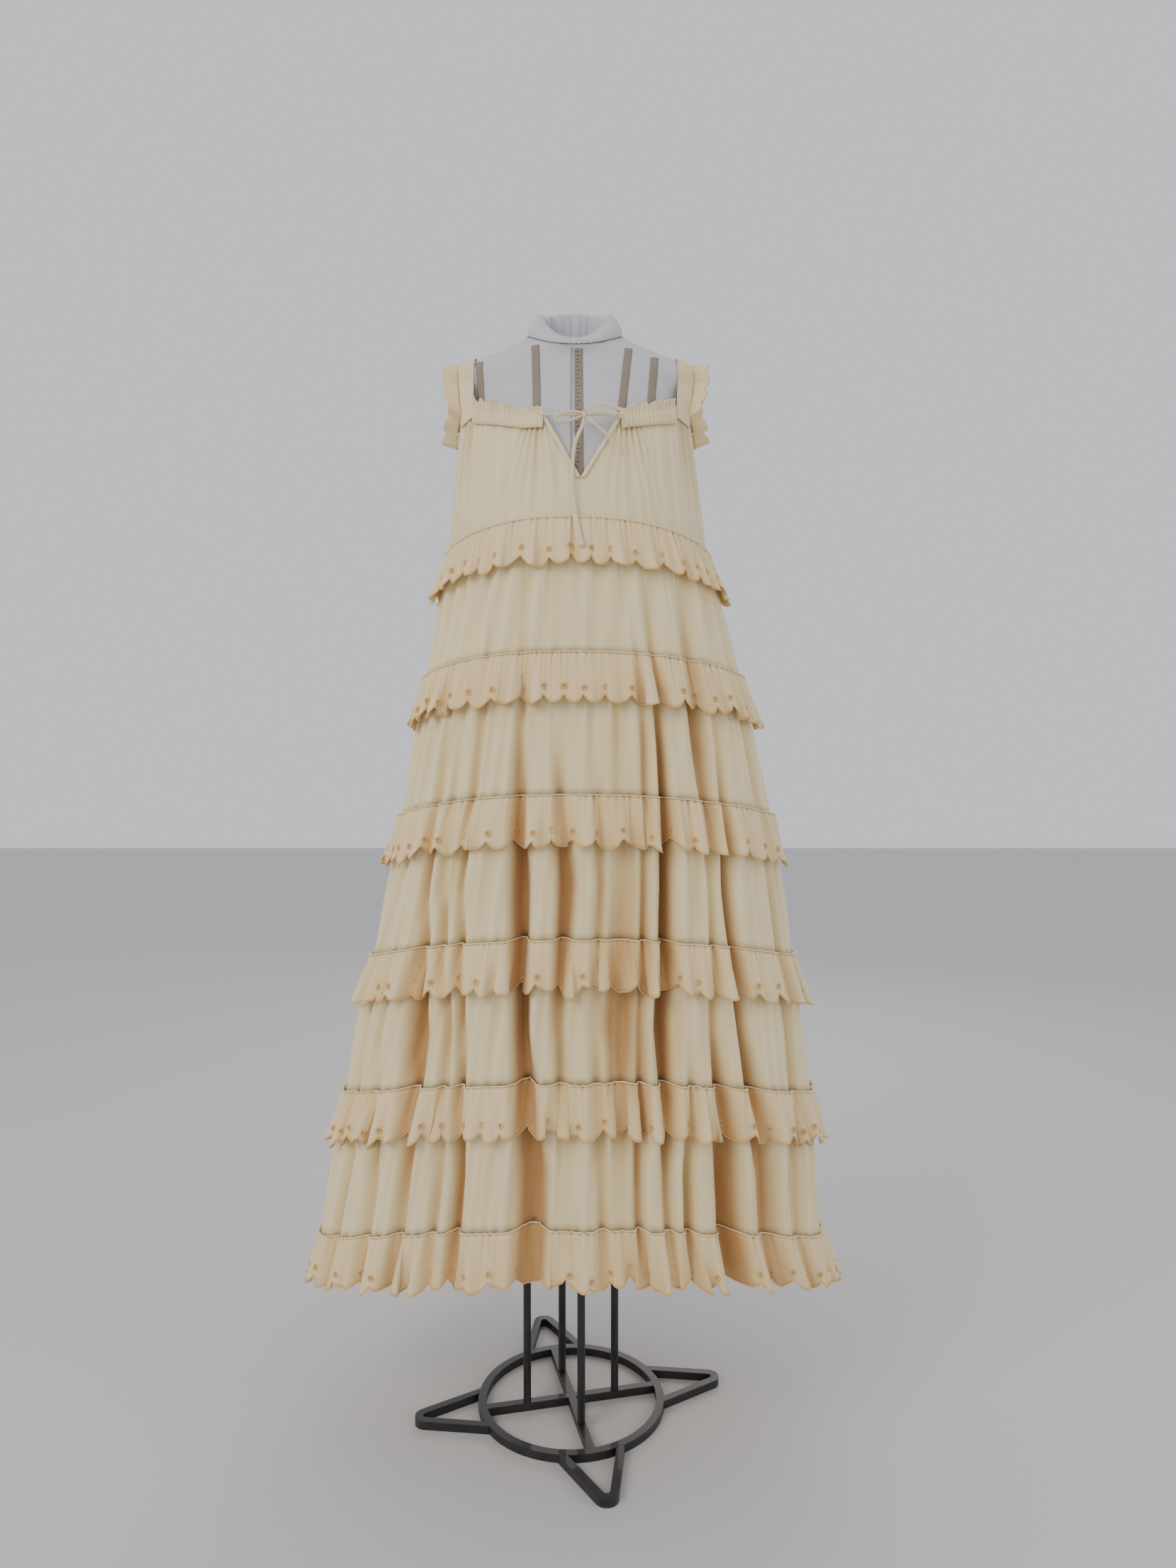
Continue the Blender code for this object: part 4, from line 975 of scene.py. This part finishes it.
CORDS = (
    # name, node, route, widths, thickness, twist, exit, far end, how it lies
    ("cord_string_left", "drawstring_left", LEFT_STRING, (0.0030, 0.0026, 0.0030), 0.0022, 0.2, 0, "knot", "taut"),
    ("cord_string_right", "drawstring_right", RIGHT_STRING, (0.0030, 0.0028, 0.0030), 0.0022, 0.2, -1, "knot", "taut"),
    ("cord_loop_left", "bow_loop_left", LEFT_LOOP, (0.0032, 0.0042, 0.0036), 0.0022, 0.5, 0, "object", "loose"),
    ("cord_loop_right", "bow_loop_right", RIGHT_LOOP, (0.0034, 0.0046, 0.0038), 0.0022, 0.5, 0, "object", "loose"),
    ("cord_tail_long", "tail_long", LONG_TAIL, (0.0040, 0.0052, 0.0050, 0.0062, 0.0078, 0.0095), 0.0016, 0.15, 0, "bare", "hanging"),
    ("cord_tail_short", "tail_short", SHORT_TAIL, (0.0034, 0.0040, 0.0042), 0.0020, 0.4, 0, "bare", "hanging"),
)
KNOT = {"place": (0.0200, -0.1275, 1.4505), "radius": 0.0058}


def knot_mesh():
    """A small knot: a band that crosses over a rounded core."""
    mesh = bpy.data.meshes.new("cord_knot")
    work = bmesh.new()
    bmesh.ops.create_icosphere(work, subdivisions=5, radius=KNOT["radius"])
    for v in work.verts:
        n = v.co.normalized()
        band = math.exp(-((n.x * 0.8 + n.z * 0.6) / 0.34) ** 4)
        groove = math.sin(14 * (n.x * 0.6 - n.z * 0.8)) * 0.05
        v.co *= 0.86 + 0.16 * band + groove
        v.co.y *= 0.9
    bmesh.ops.translate(work, verts=work.verts, vec=Vector(KNOT["place"]))
    work.to_mesh(mesh)
    work.free()
    mesh.shade_smooth()
    obj = bpy.data.objects.new("cord_knot", mesh)
    bpy.context.scene.collection.objects.link(obj)
    return obj


knot = finish_piece(knot_mesh(), string_cotton, ["drawstring_knot"])
for name, node, route, widths, thick, twist, leaves, far_end, lay in CORDS:
    piece, line = ribbon(name, route, widths, thick, twist)
    finish_piece(piece, string_cotton, [node])

# %% [markdown]
# ## The dress form
# The form is padded and covered in grey linen, with narrow printed tapes, a folded collar at the
# neck and black hand stitches round its seam. It stays plain below, where the dress hides it.

# %% Form cover
FORM_RINGS = np.array(
    (
        # z front, z side, z back, middle x, half x, y front, y back
        (0.800, 0.800, 0.800, 0.000, 0.146, 0.092, 0.105),
        (0.830, 0.830, 0.830, 0.000, 0.163, 0.100, 0.118),
        (0.900, 0.900, 0.900, 0.001, 0.172, 0.104, 0.126),
        (0.970, 0.970, 0.970, 0.002, 0.168, 0.102, 0.122),
        (1.060, 1.060, 1.060, 0.004, 0.146, 0.094, 0.100),
        (1.170, 1.170, 1.170, 0.006, 0.121, 0.086, 0.078),
        (1.250, 1.250, 1.250, 0.008, 0.130, 0.104, 0.088),
        (1.330, 1.330, 1.330, 0.008, 0.150, 0.134, 0.104),
        (1.390, 1.390, 1.390, 0.008, 0.150, 0.127, 0.109),
        (1.440, 1.440, 1.440, 0.008, 0.148, 0.112, 0.109),
        (1.480, 1.480, 1.480, 0.008, 0.154, 0.098, 0.105),
        (1.513, 1.513, 1.515, 0.008, 0.170, 0.076, 0.092),
        (1.535, 1.540, 1.542, 0.008, 0.186, 0.068, 0.085),
        (1.547, 1.553, 1.557, 0.008, 0.174, 0.058, 0.074),
        (1.555, 1.564, 1.570, 0.008, 0.150, 0.054, 0.066),
        (1.562, 1.581, 1.588, 0.008, 0.108, 0.054, 0.060),
        (1.571, 1.600, 1.612, 0.006, 0.068, 0.058, 0.050),
    )
)
SHOULDER_HALF = 0.178


def form_points(rows, around):
    """Rings of the form from a table of rows, at each angle of around."""
    rows = np.asarray(rows)[:, None, :]
    c, s = np.cos(around)[None], np.sin(around)[None]
    reach = np.sign(c) * np.abs(c) ** SQUARENESS * rows[..., 4]
    x = rows[..., 3] + np.clip(reach, -SHOULDER_HALF, SHOULDER_HALF)
    y = np.sign(s) * np.abs(s) ** SQUARENESS * np.where(s < 0, rows[..., 5], rows[..., 6])
    end = np.where(s < 0, rows[..., 0], rows[..., 2])
    z = rows[..., 1] + (end - rows[..., 1]) * np.abs(s) ** SIDE_TO_FRONT_POWER
    return np.stack([x, y, z], -1)


def close_ends(points, top_centre, bottom_centre):
    """A closed mesh from rings that run upwards, with a fan at each end."""
    rows, around = points.shape[:2]
    faces = [q[::-1] for q in grid_faces(rows, around, True)]
    base = rows * around
    for c in range(around):
        d = (c + 1) % around
        faces.append((d, c, base))
        faces.append(((rows - 1) * around + c, (rows - 1) * around + d, base + 1))
    return np.concatenate([points.reshape(-1, 3), [bottom_centre, top_centre]]), faces


around_form = np.linspace(0, 2 * np.pi, 160, endpoint=False)
fine_rows = smooth_route(FORM_RINGS, 5)
torso_points, torso_faces = close_ends(form_points(fine_rows, around_form), (0.006, -0.002, 1.575), (0, 0, 0.80))
torso = link_mesh("form_cover", torso_points, torso_faces, {"hollow": np.zeros(len(torso_points))})
finish_piece(torso, linen, ["form_torso"])
cover_tree = BVHTree.FromPolygons([tuple(p) for p in torso_points], torso_faces)

COLLAR_PROFILE = (
    # z front, z side, z back, middle x, half x, y front, y back
    (1.5712, 1.6002, 1.6122, 0.006, 0.0700, 0.0600, 0.0518),
    (1.5760, 1.6120, 1.6260, 0.006, 0.0690, 0.0600, 0.0520),
    (1.5800, 1.6240, 1.6410, 0.006, 0.0630, 0.0560, 0.0500),
    (1.5838, 1.6320, 1.6500, 0.006, 0.0560, 0.0490, 0.0470),
    (1.5850, 1.6345, 1.6525, 0.006, 0.0510, 0.0440, 0.0440),
    (1.5830, 1.6310, 1.6480, 0.006, 0.0470, 0.0400, 0.0410),
    (1.5800, 1.6180, 1.6320, 0.006, 0.0455, 0.0380, 0.0400),
    (1.5790, 1.6030, 1.6120, 0.006, 0.0440, 0.0360, 0.0390),
    (1.5780, 1.5930, 1.5980, 0.006, 0.0340, 0.0280, 0.0300),
    (1.5780, 1.5860, 1.5900, 0.006, 0.0180, 0.0150, 0.0160),
)
collar_rows = smooth_route(COLLAR_PROFILE, 6)
around_neck = np.linspace(0, 2 * np.pi, 220, endpoint=False)
collar_points = form_points(collar_rows, around_neck)
depth = np.linspace(0, 1, len(collar_rows))[:, None]
inner = np.clip((depth - 0.42) / 0.25, 0, 1)
pleats = ripple(around_neck * 0.05, 2 * np.pi * 0.05, 0.030, 81) + 0.6 * ripple(around_neck * 0.05, 2 * np.pi * 0.05, 0.014, 82)
radial = collar_points - np.array([0.006, -0.002, 0])
radial[..., 2] = 0
radial /= np.linalg.norm(radial, axis=2, keepdims=True)
fold = (0.0034 * inner * pleats[None] + 0.0008 * (1 - inner) * pleats[None]) * (1 - np.clip((depth - 0.9) / 0.1, 0, 1))
collar_points = collar_points + radial * fold[..., None]
collar_mesh, collar_faces = close_ends(collar_points, (0.006, -0.001, 1.5855), (0.006, -0.002, 1.5835))
shade = np.concatenate([(0.55 * inner * (0.6 - 0.4 * pleats[None])).ravel(), [0.4, 0.4]])
collar = link_mesh("form_neck_collar", collar_mesh, collar_faces, {"hollow": np.clip(shade, 0, 1)})
finish_piece(collar, linen, ["form_collar"])

for word in ("left", "right"):
    cap = nodes[f"form_arm_cap_{word}"]
    cap.data.materials.clear()
    cap.data.materials.append(linen)

# %% [markdown]
# The tapes are laid on the cover: a ray from the front finds the cover at each point of a tape's
# middle line, and the tape lies half a millimetre outside. Their ticks are plain, with no figures.

# %% Tapes, ticks and stitches
TAPES = (
    # name, x and z at the top, x and z at the bottom, width
    ("centre", 0.0118, 1.566, 0.0135, 1.350, 0.0118),
    ("inner_left", -0.0500, 1.574, -0.0440, 1.440, 0.0112),
    ("inner_right", 0.0836, 1.571, 0.0690, 1.440, 0.0112),
    ("outer_right", 0.1210, 1.558, 0.1100, 1.440, 0.0112),
    ("outer_left", -0.1310, 1.553, -0.1230, 1.440, 0.0105),
)


def on_cover(x, z, lift):
    hit, normal = cover_tree.ray_cast(Vector((x, -1.0, z)), Vector((0, 1, 0)))[:2]
    if hit is None:
        return None
    return np.array(hit + normal * lift)


def strip_on_cover(name, x0, z0, x1, z1, width, lift, rows, kind):
    points = []
    for s in np.linspace(0, 1, rows):
        row = [on_cover(x0 + (x1 - x0) * s + u * width, z0 + (z1 - z0) * s, lift) for u in (-0.5, -0.25, 0, 0.25, 0.5)]
        if all(p is not None for p in row):
            points.append(row)
    piece = cloth_sheet(name, np.array(points), False, 0.3 * MM, {"hollow": 0.2})
    return finish_piece(piece, kind)


for name, x0, z0, x1, z1, width in TAPES:
    strip_on_cover(f"form_tape_{name}", x0, z0, x1, z1, width, 0.9 * MM, 40, tape_cotton)
for side, x in (("a", 0.0010), ("b", 0.0028)):
    strip_on_cover(f"form_seam_{side}", x, 1.567, x + 0.0008, 1.360, 0.0005, 0.7 * MM, 40, tape_cotton)

tick = link_mesh("tick_source", [(-1, -0.12, 0), (1, -0.12, 0), (1, 0.12, 0), (-1, 0.12, 0)], [(0, 1, 2, 3)])
tick_places = []
for i, z in enumerate(np.arange(1.380, 1.562, 0.0065)):
    place = on_cover(0.0098 + 0.002 * (i % 2), z, 1.35 * MM)
    tick_places.append((place, (0, -1, 0.05)))
place_copies("form_tape_ticks", tick, tick_places, stitch_thread, 2.4 * MM)
bpy.data.objects.remove(tick)

neck_line = form_points(np.array([[1.5705, 1.5995, 1.6115, 0.006, 0.0712, 0.0612, 0.0530]]), around_neck)[0]
stitch_count = 78
for i in range(stitch_count):
    pass
stitch_at = np.linspace(0, len(neck_line), stitch_count, endpoint=False).astype(int)
capsule_points, capsule_faces = [], []
for i, u in enumerate((-1.0, -0.8, 0.8, 1.0)):
    for j in range(6):
        radius = 0.16 if i in (1, 2) else 0.06
        capsule_points.append((u, radius * math.cos(j * math.pi / 3), radius * math.sin(j * math.pi / 3)))
for i in range(3):
    for j in range(6):
        capsule_faces.append((i * 6 + j, i * 6 + (j + 1) % 6, (i + 1) * 6 + (j + 1) % 6, (i + 1) * 6 + j))
capsule_faces += [tuple(range(6))[::-1], tuple(range(18, 24))]
stitch_points, stitch_faces = [], []
for k in stitch_at:
    ahead = Vector(neck_line[(k + 1) % len(neck_line)] - neck_line[k]).normalized()
    turn = ahead.to_track_quat("X", "Z").to_matrix()
    base = len(stitch_points)
    stitch_points += [tuple(Vector(neck_line[k]) + turn @ (Vector(p) * 1.9 * MM)) for p in capsule_points]
    stitch_faces += [tuple(base + c for c in face) for face in capsule_faces]
stitches = link_mesh("form_neck_stitches", stitch_points, stitch_faces)
finish_piece(stitches, stitch_thread)
